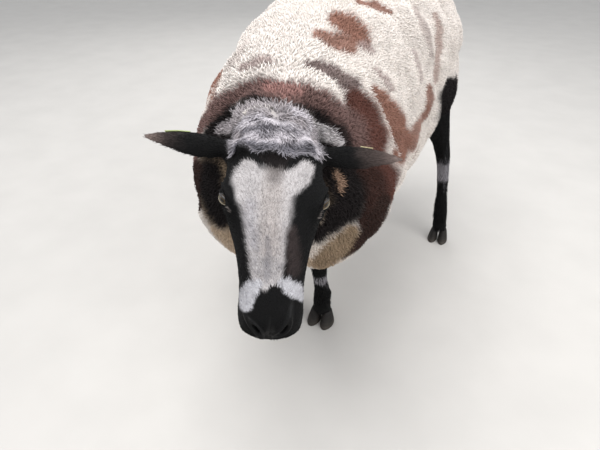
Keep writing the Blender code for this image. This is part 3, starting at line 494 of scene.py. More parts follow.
# Markings of the face in the photograph's pixels, in the order they are painted.
FACE_MARKS = {
    "blaze, lobe by the right eye": (FACE_WHITE, 1.0, ((248, 170, 10), (247, 180, 15), (252, 192, 17))),
    "blaze, lobe by the left eye": (FACE_WHITE, 1.0, ((305, 171, 9.5), (299, 178, 11.5), (286, 186, 13))),
    "blaze": (FACE_WHITE, 1.0, (
        (266, 196, 27), (267, 210, 24), (267, 222, 22), (266, 240, 19), (266.5, 260, 16.5), (267, 276, 15),
    )),
    "lower blaze": (NOSE_WHITE, 0.8, ((267, 238, 15), (267, 258, 17), (267, 272, 13))),
    "warm middle of the blaze": (WARM_WHITE, 0.5, (
        (274, 176, 9), (272, 196, 12), (270, 222, 11), (270, 250, 10),
    )),
    "grey of the blaze": (PALE_GREY, 0.5, ((250, 205, 6), (251, 224, 6), (254, 244, 5))),
    "grey line of the nose": (SLATE, 0.5, ((268, 240, 3), (268, 256, 3.5), (267, 276, 4))),
    "brown notch": (TAUPE, 0.5, ((275, 164, 9), (275, 176, 8))),
    "dark notch": (NEAR_BLACK, 0.95, ((264, 154, 7), (275, 161, 8), (287, 155, 7))),
    "tear line of the right eye": (WARM_WHITE, 0.4, ((226, 205, 0.6), (228, 209, 0.8), (231, 213, 0.6))),
    "tear line of the left eye": (WARM_WHITE, 0.4, ((322.5, 210, 0.6), (320.5, 214, 0.8), (318, 218, 0.6))),
    "brown side of the nose": (SOFT_BROWN, 0.5, ((292, 232, 5), (293, 252, 7), (294, 270, 7))),
    "white of the right lip": (LIP_WHITE, 1.0, (
        (258, 285, 5), (252, 289, 8), (247, 297, 8.5), (246.5, 305, 7.5),
    )),
    "white of the left lip": (LIP_WHITE, 1.0, (
        (283, 284, 5), (289, 287, 8), (295, 291, 8), (300, 297, 5.5),
    )),
    "nose": (BLACK, 1.0, (
        (274, 291, 4.5), (273, 298, 9.5), (272, 307, 14.5), (275, 320, 21), (274, 334, 27),
    )),
    "black of the right lip": (BLACK, 1.0, ((250, 320, 8), (262, 334, 10))),
    "black of the left lip": (BLACK, 1.0, ((297, 308, 8), (300, 318, 10))),
}

# Markings of the topknot in the photograph's pixels.
KNOT_MARKS = {
    "pale at the right ear": (TUFT_GREY, 0.9, ((219, 130, 4), (229, 135, 7), (240, 132, 6))),
    "pale at the left ear": (TUFT_GREY, 0.9, ((312, 134, 7), (323, 140, 8), (335, 143, 5))),
    "pale behind": (TUFT_GREY, 0.9, (
        (236, 116, 4), (250, 110, 5), (264, 110, 5), (280, 116, 4), (300, 122, 4),
    )),
    "dark front": (KNOT_DARK, 0.92, (
        (240, 146, 6), (254, 148, 9), (275, 153, 11), (294, 149, 9), (308, 147, 6),
    )),
    "grey streak": (KNOT_DARK, 0.5, ((246, 128, 2), (262, 124, 2.5), (280, 126, 2.5), (296, 131, 2))),
}


def paint(colours, colour, share):
    """Mixes a colour in by its share at each point."""
    colours += (np.array(colour) - colours) * share[:, None]


def camera_turn():
    """The camera's turn as a matrix."""
    sizes = bpy.context.scene.ram_stage
    lift = Matrix.Rotation(math.radians(90) - sizes.camera_drop, 3, "X")
    return Matrix.Rotation(sizes.camera_turn, 3, "Z") @ lift


def in_photograph(points):
    """Each point's pixel in the photograph and its distance, counted in pixels too but far shorter."""
    eye = np.array(bpy.context.scene.ram_stage.camera_place)
    seen = (points - eye) @ np.array(camera_turn())
    depth = -seen[:, 2]
    across = IMAGE_MIDDLE[0] + seen[:, 0] / depth * FOCAL
    down = IMAGE_MIDDLE[1] - seen[:, 1] / depth * FOCAL
    return np.column_stack((across, down, depth * DEPTH_SCALE))


def laid_on(tree, path, off):
    """The places of a marking with their distances, where the skin lies behind them. Misses go to off."""
    eye = Vector(bpy.context.scene.ram_stage.camera_place)
    places = []
    for x, y, radius in path:
        line = camera_turn() @ Vector(((x - IMAGE_MIDDLE[0]) / FOCAL, (IMAGE_MIDDLE[1] - y) / FOCAL, -1))
        hit = tree.ray_cast(eye, line.normalized())[0]
        if hit is None:
            hits = [tree.find_nearest(eye + line * (0.8 + 0.02 * step)) for step in range(50)]
            hit, _, _, gap = min(hits, key=lambda found: found[3])
            if gap > MISS_LIMIT:
                off.append((x, y))
        places.append((x, y, in_photograph(np.array([hit]))[0, 2], radius))
    return tuple(places)


def lay_markings(skin):
    """Works out once where the photograph's markings lie on the skin."""
    corners = [vertex.co for vertex in skin.data.vertices]
    tree = BVHTree.FromPolygons(corners, [face.vertices for face in skin.data.polygons])
    off = []
    for group, marks in (("wool", SEEN_WOOL_MARKS), ("face", FACE_MARKS), ("knot", KNOT_MARKS)):
        LAID[group] = [(colour, share, laid_on(tree, path, off)) for colour, share, path in marks.values()]
    if off:
        raise ValueError(f"markings leave the skin at {off}")


def coat_colours(points, where):
    """The colour of the coat at each point, from the markings' own places and sizes."""
    colours = np.tile(np.array(WHITE), (len(points), 1))
    for seed, (colour, strength, path) in enumerate(RUFF_MARKS.values()):
        paint(colours, colour, strength * stroke(where["head_place"], path, 90 + seed, 0.008, 0.2))
    ragged = points + 0.010 * np.column_stack([rumple(points, 0.016, 100 + axis) for axis in range(3)])
    for seed, (colour, strength, path) in enumerate(HIDDEN_WOOL_MARKS.values()):
        paint(colours, colour, strength * stroke(ragged, path, seed, 0.026, 0.22, 0.050))
    seen = in_photograph(points)
    for seed, (colour, strength, path) in enumerate(LAID["wool"]):
        paint(colours, colour, strength * stroke(seen, path, 20 + seed, 2.0, 0.4, 9.0))
    paint_legs(colours, points, where)
    paint(colours, SKIN_PINK, where["scrotum"] * 0.75)
    paint_face(colours, points, where)
    grain = rumple(points, 0.004, 60) * 0.10 + rumple(points, 0.018, 61) * 0.08
    return np.clip(colours * (1 + grain[:, None]), 0.004, 0.95)


def paint_legs(colours, points, where):
    """Black legs with a grey-white band above each foot."""
    share = smooth_step(0.25, 0.75, where["leg"])
    paint(colours, BLACK, share)
    height = points[:, 2] + 0.006 * rumple(points, 0.02, 70)
    hind = where["leg_number"] >= FIRST_HIND_LEG
    fore_band = smooth_step(0.142, 0.150, height) * smooth_step(0.172, 0.164, height)
    hind_band = smooth_step(0.196, 0.206, height) * smooth_step(0.262, 0.250, height)
    paint(colours, PALE_GREY, share * np.where(hind, hind_band * 0.85, fore_band * 0.9))


def paint_face(colours, points, where):
    """The black face with its white blaze, lips and nose, the black ears and the grey topknot."""
    head = where["head_place"]
    face = where["face"]
    paint(colours, BLACK, np.clip(face + where["ear"] + where["knot"], 0, 1))
    seen = in_photograph(points)
    for seed, (colour, strength, path) in enumerate(LAID["face"]):
        # Faint markings fade out, and the others have an edge.
        soft = 0.24 if strength > 0.6 else 0.7
        paint(colours, colour, strength * stroke(seen, path, 50 + seed, 1.3, soft, 4.0) * face)
    speckle = smooth_step(0.2, 0.7, rumple(points, 0.0030, 44)) * smooth_step(0.10, 0.16, head[:, 1])
    paint(colours, SLATE, speckle * 0.45 * face * smooth_step(0.08, 0.3, colours[:, 0]))
    start = np.where(head[:, 0] > 0, 0.100, 0.122)
    tip = smooth_step(start, start + 0.065, np.abs(head[:, 0]) + 0.010 * rumple(points, 0.015, 45))
    paint(colours, EAR_BROWN, tip * where["ear"])
    paint(colours, EAR_TIP, smooth_step(0.150, 0.185, np.abs(head[:, 0])) * where["ear"])
    knot = where["knot"]
    paint(colours, KNOT_GREY, knot)
    streaks = smooth_step(-0.1, 0.8, rumple(head * np.array((0.3, 1, 1)), 0.008, 46))
    paint(colours, KNOT_DARK, streaks * 0.55 * knot)
    for seed, (colour, strength, path) in enumerate(LAID["knot"]):
        paint(colours, colour, strength * stroke(seen, path, 80 + seed, 2.0, 0.35, 6.0) * knot)


# Meshes


def choose_none():
    """Selects nothing."""
    bpy.ops.object.select_all(action="DESELECT")


def choose(obj):
    """Selects one object alone and makes it the active one."""
    choose_none()
    obj.select_set(True)
    bpy.context.view_layer.objects.active = obj


def apply_modifier(obj, kind, **settings):
    """Adds a modifier with its settings and applies it."""
    choose(obj)
    modifier = obj.modifiers.new(kind.lower(), kind)
    for name, value in settings.items():
        setattr(modifier, name, value)
    bpy.ops.object.modifier_apply(modifier=modifier.name)


def weigh(obj, name, weights):
    """A vertex group whose weights are rounded to tenths."""
    group = obj.vertex_groups.new(name=name)
    tenths = np.rint(np.clip(weights, 0, 1) * 10).astype(int)
    for level in range(1, 11):
        members = np.flatnonzero(tenths == level).tolist()
        if members:
            group.add(members, level / 10, "REPLACE")


def points_of(mesh):
    """The places of a mesh's points."""
    points = np.empty(len(mesh.vertices) * 3, np.float32)
    mesh.vertices.foreach_get("co", points)
    return points.reshape(-1, 3).astype(float)


def normals_of(mesh):
    """The normals of a mesh's points."""
    normals = np.empty(len(mesh.vertices) * 3, np.float32)
    mesh.vertices.foreach_get("normal", normals)
    return normals.reshape(-1, 3).astype(float)


def place_points(mesh, points):
    """Moves a mesh's points to their new places."""
    mesh.vertices.foreach_set("co", np.ascontiguousarray(points, np.float32).ravel())
    mesh.update()


def colour_points(mesh, colours):
    """Keeps the coat's colour at each point of a mesh."""
    layer = mesh.color_attributes.new(COLOUR_MAP, "FLOAT_COLOR", "POINT")
    full = np.ones((len(colours), 4), np.float32)
    full[:, :3] = colours
    layer.data.foreach_set("color", full.ravel())


def object_of(name, data):
    """A new object in the scene."""
    made = bpy.data.objects.new(name, data)
    bpy.context.scene.collection.objects.link(made)
    return made


def keep_largest(obj):
    """Keeps only the largest loose part of an object."""
    choose(obj)
    bpy.ops.object.mode_set(mode="EDIT")
    bpy.ops.mesh.select_all(action="SELECT")
    bpy.ops.mesh.separate(type="LOOSE")
    bpy.ops.object.mode_set(mode="OBJECT")
    parts = sorted(bpy.context.selected_objects, key=lambda part: len(part.data.vertices))
    for part in parts[:-1]:
        bpy.data.objects.remove(part)
    return parts[-1]


def flesh_copy(node):
    """A merged copy of a solid, grown a little so that it meets its neighbours."""
    made = bmesh.new()
    made.from_mesh(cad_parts[node].data)
    bmesh.ops.remove_doubles(made, verts=made.verts, dist=1e-5)
    made.normal_update()
    for vertex in made.verts:
        vertex.co += vertex.normal * JOINING_GROWTH
    mesh = bpy.data.meshes.new(node + "_copy")
    made.to_mesh(mesh)
    made.free()
    return object_of(node + "_copy", mesh)


def eye_matrix(side):
    """The frame of an eye: Z out of the head, X along the opening towards the nose."""
    across, along, up = EYE_CENTRE
    outward = Vector((side * EYE_OUTWARD.x, EYE_OUTWARD.y, EYE_OUTWARD.z)).normalized()
    forward = Vector((side * EYE_ALONG.x, EYE_ALONG.y, EYE_ALONG.z))
    forward = (forward - outward * forward.dot(outward)).normalized()
    upward = outward.cross(forward)
    turn = Matrix((forward, upward, outward)).transposed().to_4x4()
    return head_matrix() @ Matrix.Translation(in_head(side * across, along, up)) @ turn


def lid_sign(side):
    """1 where the upper lid is on the eye frame's +Y side."""
    return 1 if (head_matrix().inverted() @ eye_matrix(side)).col[1].z > 0 else -1


def refine(mesh, centres, reach):
    """Splits the edges near some places once."""
    made = bmesh.new()
    made.from_mesh(mesh)
    edges = []
    for edge in made.edges:
        middle = (edge.verts[0].co + edge.verts[1].co) / 2
        if any((middle - centre).length < size for centre, size in zip(centres, reach)):
            edges.append(edge)
    bmesh.ops.subdivide_edges(made, edges=edges, cuts=1, use_grid_fill=True)
    bmesh.ops.triangulate(made, faces=made.faces)
    made.to_mesh(mesh)
    made.free()


def open_eyes(points):
    """Sinks the skin behind each eyeball inside the almond of its lids, and raises the lids and the brow."""
    for side in (-1, 1):
        matrix = eye_matrix(side)
        local = seen_from(points, matrix)
        radius = np.linalg.norm(local, axis=1)
        height = np.where(local[:, 1] * lid_sign(side) > 0, LID_UPPER_HEIGHT, LID_LOWER_HEIGHT)
        reach = np.sqrt((local[:, 0] / LID_HALF_LENGTH) ** 2 + (local[:, 1] / height) ** 2)
        inside = smooth_step(1.14, 0.92, reach) * (local[:, 2] > 0) * (radius < 0.024)
        upper = local[:, 1] * lid_sign(side) > 0
        lid = np.exp(-(((reach - 1.35) / 0.28) ** 2)) * np.where(upper, 0.0022, 0.0014)
        crease = np.exp(-(((reach - 1.85) / 0.16) ** 2)) * np.where(upper, -0.0012, -0.0006)
        brow = np.exp(-(((reach - 2.6) / 0.5) ** 2)) * np.where(upper, 0.0034, 0.0010)
        close = smooth_step(0.034, 0.022, radius) * (local[:, 2] > 0)
        wanted = np.maximum(radius, EYE_RADIUS + 0.0004) + (lid + crease + brow) * close
        wanted = wanted + (EYE_RADIUS - 0.0022 - wanted) * inside
        moved = close > 0
        local *= (np.where(moved, wanted, radius) / np.maximum(radius, 1e-6))[:, None]
        full = np.array(matrix)
        points = np.where(moved[:, None], local @ full[:3, :3].T + full[:3, 3], points)
    return points


def nostril_reach(head):
    """How far each point of the muzzle lies from the nearer nostril's slit, 1 at its rim."""
    best = np.full(len(head), 9.0)
    for side in (-1, 1):
        away = head[:, [0, 2]] - np.array((side * NOSTRIL_PLACE[0], NOSTRIL_PLACE[2]))
        slant = np.array((side * math.cos(NOSTRIL_SLANT), math.sin(NOSTRIL_SLANT)))
        length = away @ slant
        width = away @ np.array((-side * slant[1], side * slant[0])) * side - 18 * length**2
        best = np.minimum(best, np.hypot(length / NOSTRIL_SIZE[0], width / NOSTRIL_SIZE[1]))
    return np.where(head[:, 1] > NOSTRIL_PLACE[1] - 0.026, best, 9.0)


def muzzle_depth(head):
    """How far the skin sinks along the mouth, the philtrum and the nostrils, and swells round them."""
    across, along, up = head[:, 0], head[:, 1], head[:, 2]
    line = MOUTH_HEIGHT - (MOUTH_FRONT - along) * math.tan(MOUTH_DROP)
    far = smooth_step(MOUTH_CORNER - 0.004, MOUTH_CORNER + 0.006, along)
    groove = 0.0040 * np.exp(-(((up - line) / 0.0015) ** 2)) * far
    lips = -0.0012 * np.exp(-(((np.abs(up - line) - 0.0045) / 0.0022) ** 2)) * far
    cleft = np.exp(-((across / 0.0014) ** 2)) * smooth_step(0.250, 0.262, along)
    reach = nostril_reach(head)
    hole = 0.0085 * smooth_step(1.15, 0.35, reach)
    rim = -0.0018 * np.exp(-(((reach - 1.7) / 0.45) ** 2))
    return groove + lips + 0.0018 * cleft * smooth_step(-0.088, -0.080, up) + hole + rim


def bare_nose(head):
    """How much each point of the head lies on the bare leather round the nostrils and between them."""
    strip = smooth_step(0.0085, 0.0055, np.abs(head[:, 0]) + 0.3 * np.abs(head[:, 2] + 0.072))
    strip = strip * smooth_step(0.250, 0.258, head[:, 1])
    bare = np.maximum(smooth_step(2.9, 2.0, nostril_reach(head)), strip)
    return bare * smooth_step(-0.093, -0.089, head[:, 2])


def face_length(roots, head):
    """Shorter hair on the muzzle and round the eyes."""
    share = 0.5 + 0.5 * smooth_step(0.258, 0.205, head[:, 1])
    for side in (-1, 1):
        away = np.linalg.norm(seen_from(roots, eye_matrix(side)), axis=1)
        share *= 0.4 + 0.6 * smooth_step(0.017, 0.032, away)
    return share


def joined_flesh(voxel):
    """The solids of the flesh and the eyes as one closed skin."""
    copies = [flesh_copy(node) for node in (*FLESH, "eye_left", "eye_right")]
    choose_none()
    for copy in copies:
        copy.select_set(True)
    bpy.context.view_layer.objects.active = copies[0]
    bpy.ops.object.join()
    skin = bpy.context.view_layer.objects.active
    apply_modifier(skin, "REMESH", mode="VOXEL", voxel_size=voxel)
    return keep_largest(skin)


def smooth_and_thin(skin, sizes):
    """Smooths the clumps away under the wool, and thins the mesh where the coat hides it."""
    where = zones(points_of(skin.data))
    fleece = where["trunk"] + where["neck"] + where["tail"]
    weigh(skin, "fleece", fleece + 0.4 * where["knot"])
    weigh(skin, "plain", np.clip(0.55 * fleece + where["leg"] + where["knot"], 0, 1))
    apply_modifier(skin, "SMOOTH", factor=0.5, iterations=sizes.fleece_rounds, vertex_group="fleece")
    apply_modifier(skin, "SMOOTH", factor=0.5, iterations=sizes.hair_rounds)
    ratio = sizes.triangles / (2 * len(skin.data.polygons))
    apply_modifier(skin, "DECIMATE", ratio=ratio, vertex_group="plain", use_collapse_triangulate=True)
    skin.vertex_groups.clear()


def refine_face(mesh):
    """Makes the skin finer at the muzzle and the eyes, and finer again at the nostrils."""
    matrix = head_matrix()
    eyes = [eye_matrix(side).translation for side in (-1, 1)]
    nostrils = [matrix @ in_head(side * NOSTRIL_PLACE[0], *NOSTRIL_PLACE[1:]) for side in (-1, 1)]
    refine(mesh, [matrix @ in_head(*MUZZLE_PLACE), *eyes], [MUZZLE_FINE, EYE_FINE, EYE_FINE])
    refine(mesh, nostrils, [NOSTRIL_FINE, NOSTRIL_FINE])


def sunk_under_coat(mesh, sizes):
    """The skin's points, sunk by the coat's depth, with the muzzle and the lids shaped."""
    points = points_of(mesh)
    where = zones(points)
    depth = sizes.trunk_depth * where["trunk"] + sizes.neck_depth * where["neck"]
    depth += sizes.tail_depth * where["tail"] + sizes.knot_depth * where["knot"]
    depth += sizes.hair_depth * (where["face"] + where["ear"] + where["leg"] + where["scrotum"])
    points -= normals_of(mesh) * (depth + muzzle_depth(where["head_place"]) * where["face"])[:, None]
    return open_eyes(points)


class RAM_OT_skin(bpy.types.Operator):
    """Makes one seamless skin from the solids of the flesh"""

    bl_idname = "ram.skin"
    bl_label = "Skin"

    def execute(self, context):
        sizes = context.scene.ram_skin
        skin = joined_flesh(sizes.voxel)
        skin.name = "ram_skin"
        smooth_and_thin(skin, sizes)
        refine_face(skin.data)
        points = sunk_under_coat(skin.data, sizes)
        place_points(skin.data, points)
        lay_markings(skin)
        where = zones(points)
        # The skin takes the coat's colours with painted shade.
        colour_points(skin.data, coat_colours(points, where) * SKIN_PAINTED_SHADE)
        skin.data.shade_smooth()
        skin.data.materials.clear()
        skin.data.materials.append(coat_finish("skin_under_the_coat", sizes.bump))
        bare = skin.data.attributes.new(BARE_MAP, "FLOAT", "POINT")
        bare.data.foreach_set("value", bare_nose(where["head_place"]).astype(np.float32))
        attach(skin, "root")
        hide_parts(*FLESH)
        return {"FINISHED"}


# Coat


class Surface:
    """The skin's triangles, ready for roots to be set on them."""

    def __init__(self, obj):
        mesh = obj.data
        mesh.calc_loop_triangles()
        corners = np.empty(len(mesh.loop_triangles) * 3, np.int32)
        mesh.loop_triangles.foreach_get("vertices", corners)
        self.points = points_of(mesh)
        self.normals = normals_of(mesh)
        self.corners = corners.reshape(-1, 3)
        first, second, third = (self.points[self.corners[:, index]] for index in range(3))
        self.areas = np.linalg.norm(np.cross(second - first, third - first), axis=1) / 2
        where = zones(self.points)
        shares = np.stack([where[zone] for zone in COAT_ZONES])
        self.zone = shares[:, self.corners].mean(axis=2).argmax(axis=0)

    def roots(self, zone, spacing, seed):
        """Evenly spread places of a zone, with their normals."""
        chooser = np.random.default_rng(seed)
        weights = self.areas * (self.zone == COAT_ZONES.index(zone))
        count = int(weights.sum() / spacing**2 * DRAWN_PER_ROOT)
        chosen = chooser.choice(len(weights), count, p=weights / weights.sum())
        first, second = chooser.random(count), chooser.random(count)
        flip = first + second > 1
        first[flip], second[flip] = 1 - first[flip], 1 - second[flip]
        shares = np.column_stack((1 - first - second, first, second))
        points = (self.points[self.corners[chosen]] * shares[:, :, None]).sum(axis=1)
        normals = (self.normals[self.corners[chosen]] * shares[:, :, None]).sum(axis=1)
        cells = np.floor(points / spacing + chooser.random(3)).astype(np.int64)
        kept = np.unique(cells, axis=0, return_index=True)[1]
        normals = normals[kept] / np.linalg.norm(normals[kept], axis=1)[:, None]
        return points[kept], normals


def lies(points, normals, where):
    """The way the coat lies at each point, along the skin."""
    count = len(points)
    flow = np.tile(np.array((0.0, 1.0, -0.5)), (count, 1))
    from_head = points - np.array(POLL + SHIFT + Vector((0.0, 0.04, -0.06)))
    away = np.linalg.norm(from_head, axis=1)[:, None]
    flow += from_head / away * 1.5 * smooth_step(0.45, 0.20, away)
    flow[:, 2] -= where["leg"] * 3 + where["tail"] * 3 + where["scrotum"] * 3
    turn = np.array(head_matrix())[:3, :3]
    head = where["head_place"]
    back = np.column_stack((head[:, 0] * 5, np.ones(count), -0.35 * np.ones(count))) @ turn.T
    share = where["face"][:, None]
    flow = flow * (1 - share) + back * share
    outward = np.column_stack((np.sign(head[:, 0]), 0.1 * np.ones(count), -0.2 * np.ones(count))) @ turn.T
    share = where["ear"][:, None]
    flow = flow * (1 - share) + outward * share
    sideways = 0.9 * np.tanh(head[:, 0] * 28) + 0.5 * rumple(points, 0.016, 47)
    forward = 0.55 * np.tanh((head[:, 1] - KNOT_PARTING) * 90)
    knot = np.column_stack((sideways, -forward, -0.1 * np.ones(count))) @ turn.T
    share = where["knot"][:, None]
    flow = flow * (1 - share) + knot * share
    flow -= normals * (flow * normals).sum(axis=1)[:, None]
    return flow / np.maximum(np.linalg.norm(flow, axis=1), 1e-6)[:, None]


def unwrap(points, where, zone):
    """A place on a flat map for each root, by turning round the middle of its own part."""
    if zone in ("face", "knot"):
        head = where["head_place"]
        angle = np.arctan2(head[:, 0], head[:, 2] + 0.06)
        return np.column_stack((angle / (2 * math.pi) + 0.5, (head[:, 1] + 0.08) / 0.36))
    if zone == "ear":
        head = where["head_place"]
        angle = np.arctan2(head[:, 1] - 0.008, head[:, 2] + 0.024)
        turned = (angle / (2 * math.pi) + 0.5) * 0.48 + 0.5 * (head[:, 0] > 0)
        return np.column_stack((turned, np.abs(head[:, 0]) / 0.2))
    if zone == "leg":
        paths = np.array(list(LEGS.values())) + np.array(SHIFT)
        turned = np.zeros(len(points))
        for number, path in enumerate(paths):
            mine = where["leg_number"] == number
            x = np.interp(points[mine, 2], path[::-1, 2], path[::-1, 0])
            y = np.interp(points[mine, 2], path[::-1, 2], path[::-1, 1])
            angle = np.arctan2(points[mine, 0] - x, points[mine, 1] - y)
            turned[mine] = (angle / (2 * math.pi) + 0.5) * 0.48 + 0.5 * (number % 2)
        return np.column_stack((turned, points[:, 2] / 0.5))
    angle = np.arctan2(points[:, 0] - float(SHIFT.x), points[:, 2] - 0.5)
    return np.column_stack((angle / (2 * math.pi) + 0.5, (points[:, 1] + 0.5) / 1.25))


def tuft_faces(rings):
    """The triangles of one tuft: a closed root, the walls between its rings, and a point at its tip."""
    sides = ((1, 0), (2, 1), (0, 2))
    faces = [(0, 1, 2)]
    for low in range(0, 3 * (rings - 1), 3):
        high = low + 3
        for start, end in sides:
            faces.append((low + start, low + end, high + end))
            faces.append((low + start, high + end, high + start))
    last = 3 * (rings - 1)
    return np.array(faces + [(last + start, last + end, last + 3) for start, end in sides])


def length_share(zone, roots, where):
    """How much shorter or longer than its look the coat is at each root."""
    if zone == "face":
        return face_length(roots, where["head_place"])
    if zone == "leg":
        return 1 + 0.7 * smooth_step(0.066, 0.050, roots[:, 2])
    return np.ones(len(roots))


def grow(name, roots, normals, zone, seed):
    """One coat piece: a solid bent tuft on each root, as one mesh."""
    look = LOOKS[zone]
    chooser = np.random.default_rng(seed)
    count = len(roots)
    where = zones(roots)
    flow = lies(roots, normals, where)
    side = np.cross(normals, flow)
    yaw = (chooser.normal(0, look["stray"], count) + rumple(roots, 0.030, seed) * look["swirl"])[:, None]
    flow, side = flow * np.cos(yaw) + side * np.sin(yaw), side * np.cos(yaw) - flow * np.sin(yaw)
    length = length_share(zone, roots, where) * look["length"] * chooser.uniform(0.75, 1.2, count)
    length *= 1 + 0.25 * rumple(roots, 0.02, seed + 1)
    width = look["width"] * chooser.uniform(0.75, 1.25, count)
    parting = np.exp(-(((where["head_place"][:, 1] - KNOT_PARTING) / 0.010) ** 2)) * where["knot"]
    lift = np.radians(look["lift"] * chooser.uniform(0.6, 1.4, count) + 35 * parting)
    phase = chooser.uniform(0, 2 * math.pi, count)
    rings = look["rings"]
    colours = coat_colours(roots, where)
    colours *= chooser.normal(1, look["mottle"], count)[:, None].clip(0.6, 1.4)
    flat = unwrap(roots, where, zone)
    places, tints, maps = [], [], []
    for step in range(rings + 1):
        share = step / rings
        bend = lift * (1 - 0.55 * share)
        out = (flow * np.cos(bend)[:, None] + normals * np.sin(bend)[:, None]) * (length * share)[:, None]
        twist = phase + share * look["turns"] * 2 * math.pi
        wave = look["curl"] * share * np.sin(twist)
        rise = look["curl"] * share * np.cos(twist) * 0.6
        middle = roots + out + side * wave[:, None] + normals * rise[:, None]
        if step == 0:
            middle = middle - normals * look["sink"]
        # Painted shade at each tuft's root and painted light towards its tip.
        shade = look["root_painted_shade"] + (look["tip_painted_light"] - look["root_painted_shade"]) * share
        tint = np.clip(colours * shade, 0, 1)
        if step == rings:
            places.append(middle[:, None])
            tints.append(tint[:, None])
            maps.append((flat + PATCH_SIZE * np.array((0.5, 1.0)))[:, None])
            continue
        half = (width * (1 - 0.55 * share**1.5) / 2)[:, None]
        thick = half * look["thickness"]
        ring = np.stack((middle - side * half, middle + side * half, middle + normals * thick), axis=1)
        places.append(ring)
        tints.append(np.repeat(tint[:, None], 3, axis=1))
        across = np.array((0.0, 1.0, 0.5))
        patch = np.stack((across, np.full(3, share)), axis=1) * PATCH_SIZE
        maps.append(flat[:, None] + patch[None])
    starts = np.arange(count) * (3 * rings + 1)
    corners = (tuft_faces(rings)[None] + starts[:, None, None]).reshape(-1, 3)
    points = np.concatenate(places, axis=1).reshape(-1, 3)
    mesh = mesh_of(name, points, corners)
    colour_points(mesh, np.concatenate(tints, axis=1).reshape(-1, 3))
    layer = mesh.uv_layers.new(name="OFBake")
    patches = np.concatenate(maps, axis=1).reshape(-1, 2)[corners.ravel()]
    layer.data.foreach_set("uv", patches.astype(np.float32).ravel())
    mesh.shade_smooth()
    made = object_of(name, mesh)
    made.data.materials.append(bpy.data.materials.get("coat") or coat_finish("coat", 0.0))
    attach(made, "root")
    return made


def mesh_of(name, points, corners):
    """A mesh of triangles from arrays."""
    mesh = bpy.data.meshes.new(name)
    mesh.vertices.add(len(points))
    mesh.vertices.foreach_set("co", np.ascontiguousarray(points, np.float32).ravel())
    mesh.loops.add(corners.size)
    mesh.loops.foreach_set("vertex_index", corners.astype(np.int32).ravel())
    mesh.polygons.add(len(corners))
    mesh.polygons.foreach_set("loop_start", np.arange(0, corners.size, 3, dtype=np.int32))
    mesh.update(calc_edges=True)
    return mesh


# Each look's root and tip factors darken the tufts' roots and lighten their tips: painted shade and painted
# light.
LOOKS = {
    "trunk": {"length": 0.0086, "width": 0.0023, "lift": 46, "curl": 0.0012, "turns": 0.9, "rings": 2,
              "stray": 0.40, "swirl": 0.5, "thickness": 0.9, "sink": 0.0015, "root_painted_shade": 0.90,
              "tip_painted_light": 1.06, "mottle": 0.04, "slot": "fleece"},
    "neck": {"length": 0.0098, "width": 0.0024, "lift": 40, "curl": 0.0013, "turns": 1.0, "rings": 2,
             "stray": 0.30, "swirl": 0.5, "thickness": 0.9, "sink": 0.0015, "root_painted_shade": 0.75,
             "tip_painted_light": 1.15, "mottle": 0.12, "slot": "neck_wool"},
    "tail": {"length": 0.0115, "width": 0.0025, "lift": 36, "curl": 0.0015, "turns": 1.1, "rings": 2,
             "stray": 0.30, "swirl": 0.4, "thickness": 0.9, "sink": 0.0015, "root_painted_shade": 0.75,
             "tip_painted_light": 1.10, "mottle": 0.06, "slot": "fleece"},
    "knot": {"length": 0.0130, "width": 0.0019, "lift": 20, "curl": 0.0018, "turns": 1.2, "rings": 4,
             "stray": 0.20, "swirl": 0.6, "thickness": 0.8, "sink": 0.0015, "root_painted_shade": 0.78,
             "tip_painted_light": 1.08, "mottle": 0.12, "slot": "short_hair"},
    "face": {"length": 0.0060, "width": 0.0011, "lift": 13, "curl": 0.0002, "turns": 0.5, "rings": 2,
             "stray": 0.16, "swirl": 0.2, "thickness": 0.5, "sink": 0.0006, "root_painted_shade": 0.85,
             "tip_painted_light": 1.10, "mottle": 0.10, "slot": "short_hair"},
    "ear": {"length": 0.0058, "width": 0.0010, "lift": 12, "curl": 0.0002, "turns": 0.5, "rings": 2,
            "stray": 0.14, "swirl": 0.2, "thickness": 0.5, "sink": 0.0005, "root_painted_shade": 0.85,
            "tip_painted_light": 1.15, "mottle": 0.10, "slot": "short_hair"},
    "leg": {"length": 0.0115, "width": 0.0013, "lift": 22, "curl": 0.0006, "turns": 0.5, "rings": 2,
            "stray": 0.18, "swirl": 0.2, "thickness": 0.5, "sink": 0.0006, "root_painted_shade": 0.80,
            "tip_painted_light": 1.20, "mottle": 0.12, "slot": "short_hair"},
    "scrotum": {"length": 0.0090, "width": 0.0016, "lift": 18, "curl": 0.0006, "turns": 0.6, "rings": 2,
                "stray": 0.25, "swirl": 0.3, "thickness": 0.6, "sink": 0.0006, "root_painted_shade": 0.85,
                "tip_painted_light": 1.10, "mottle": 0.08, "slot": "skin"},
}


def skin_surface():
    """The finished skin as a surface to grow on."""
    return Surface(bpy.data.objects["ram_skin"])


class RAM_OT_wool(bpy.types.Operator):
    """Grows the short wool of the trunk, neck and tail"""

    bl_idname = "ram.wool"
    bl_label = "Wool"

    def execute(self, context):
        sizes = context.scene.ram_coat
        surface = skin_surface()
        roots, normals = surface.roots("trunk", sizes.wool_spacing, 1)
        station = np.digitize(roots[:, 1], WOOL_STATIONS)
        left = roots[:, 0] > 0
        for number, place in enumerate(("shoulder", "ribs", "flank", "hip", "rump")):
            for word, half in (("left", left), ("right", ~left)):
                mine = (station == number) & half
                grow(f"wool_{word}_{place}", roots[mine], normals[mine], "trunk", 10 + number)
        for seed, zone in enumerate(("neck", "tail")):
            roots, normals = surface.roots(zone, sizes.neck_spacing, 2 + seed)
            grow("wool_" + zone, roots, normals, zone, 20 + seed)
        return {"FINISHED"}


class RAM_OT_topknot(bpy.types.Operator):
    """Grows the curls between the ears"""

    bl_idname = "ram.topknot"
    bl_label = "Topknot"

    def execute(self, context):
        roots, normals = skin_surface().roots("knot", context.scene.ram_coat.knot_spacing, 5)
        grow("wool_topknot", roots, normals, "knot", 30)
        return {"FINISHED"}


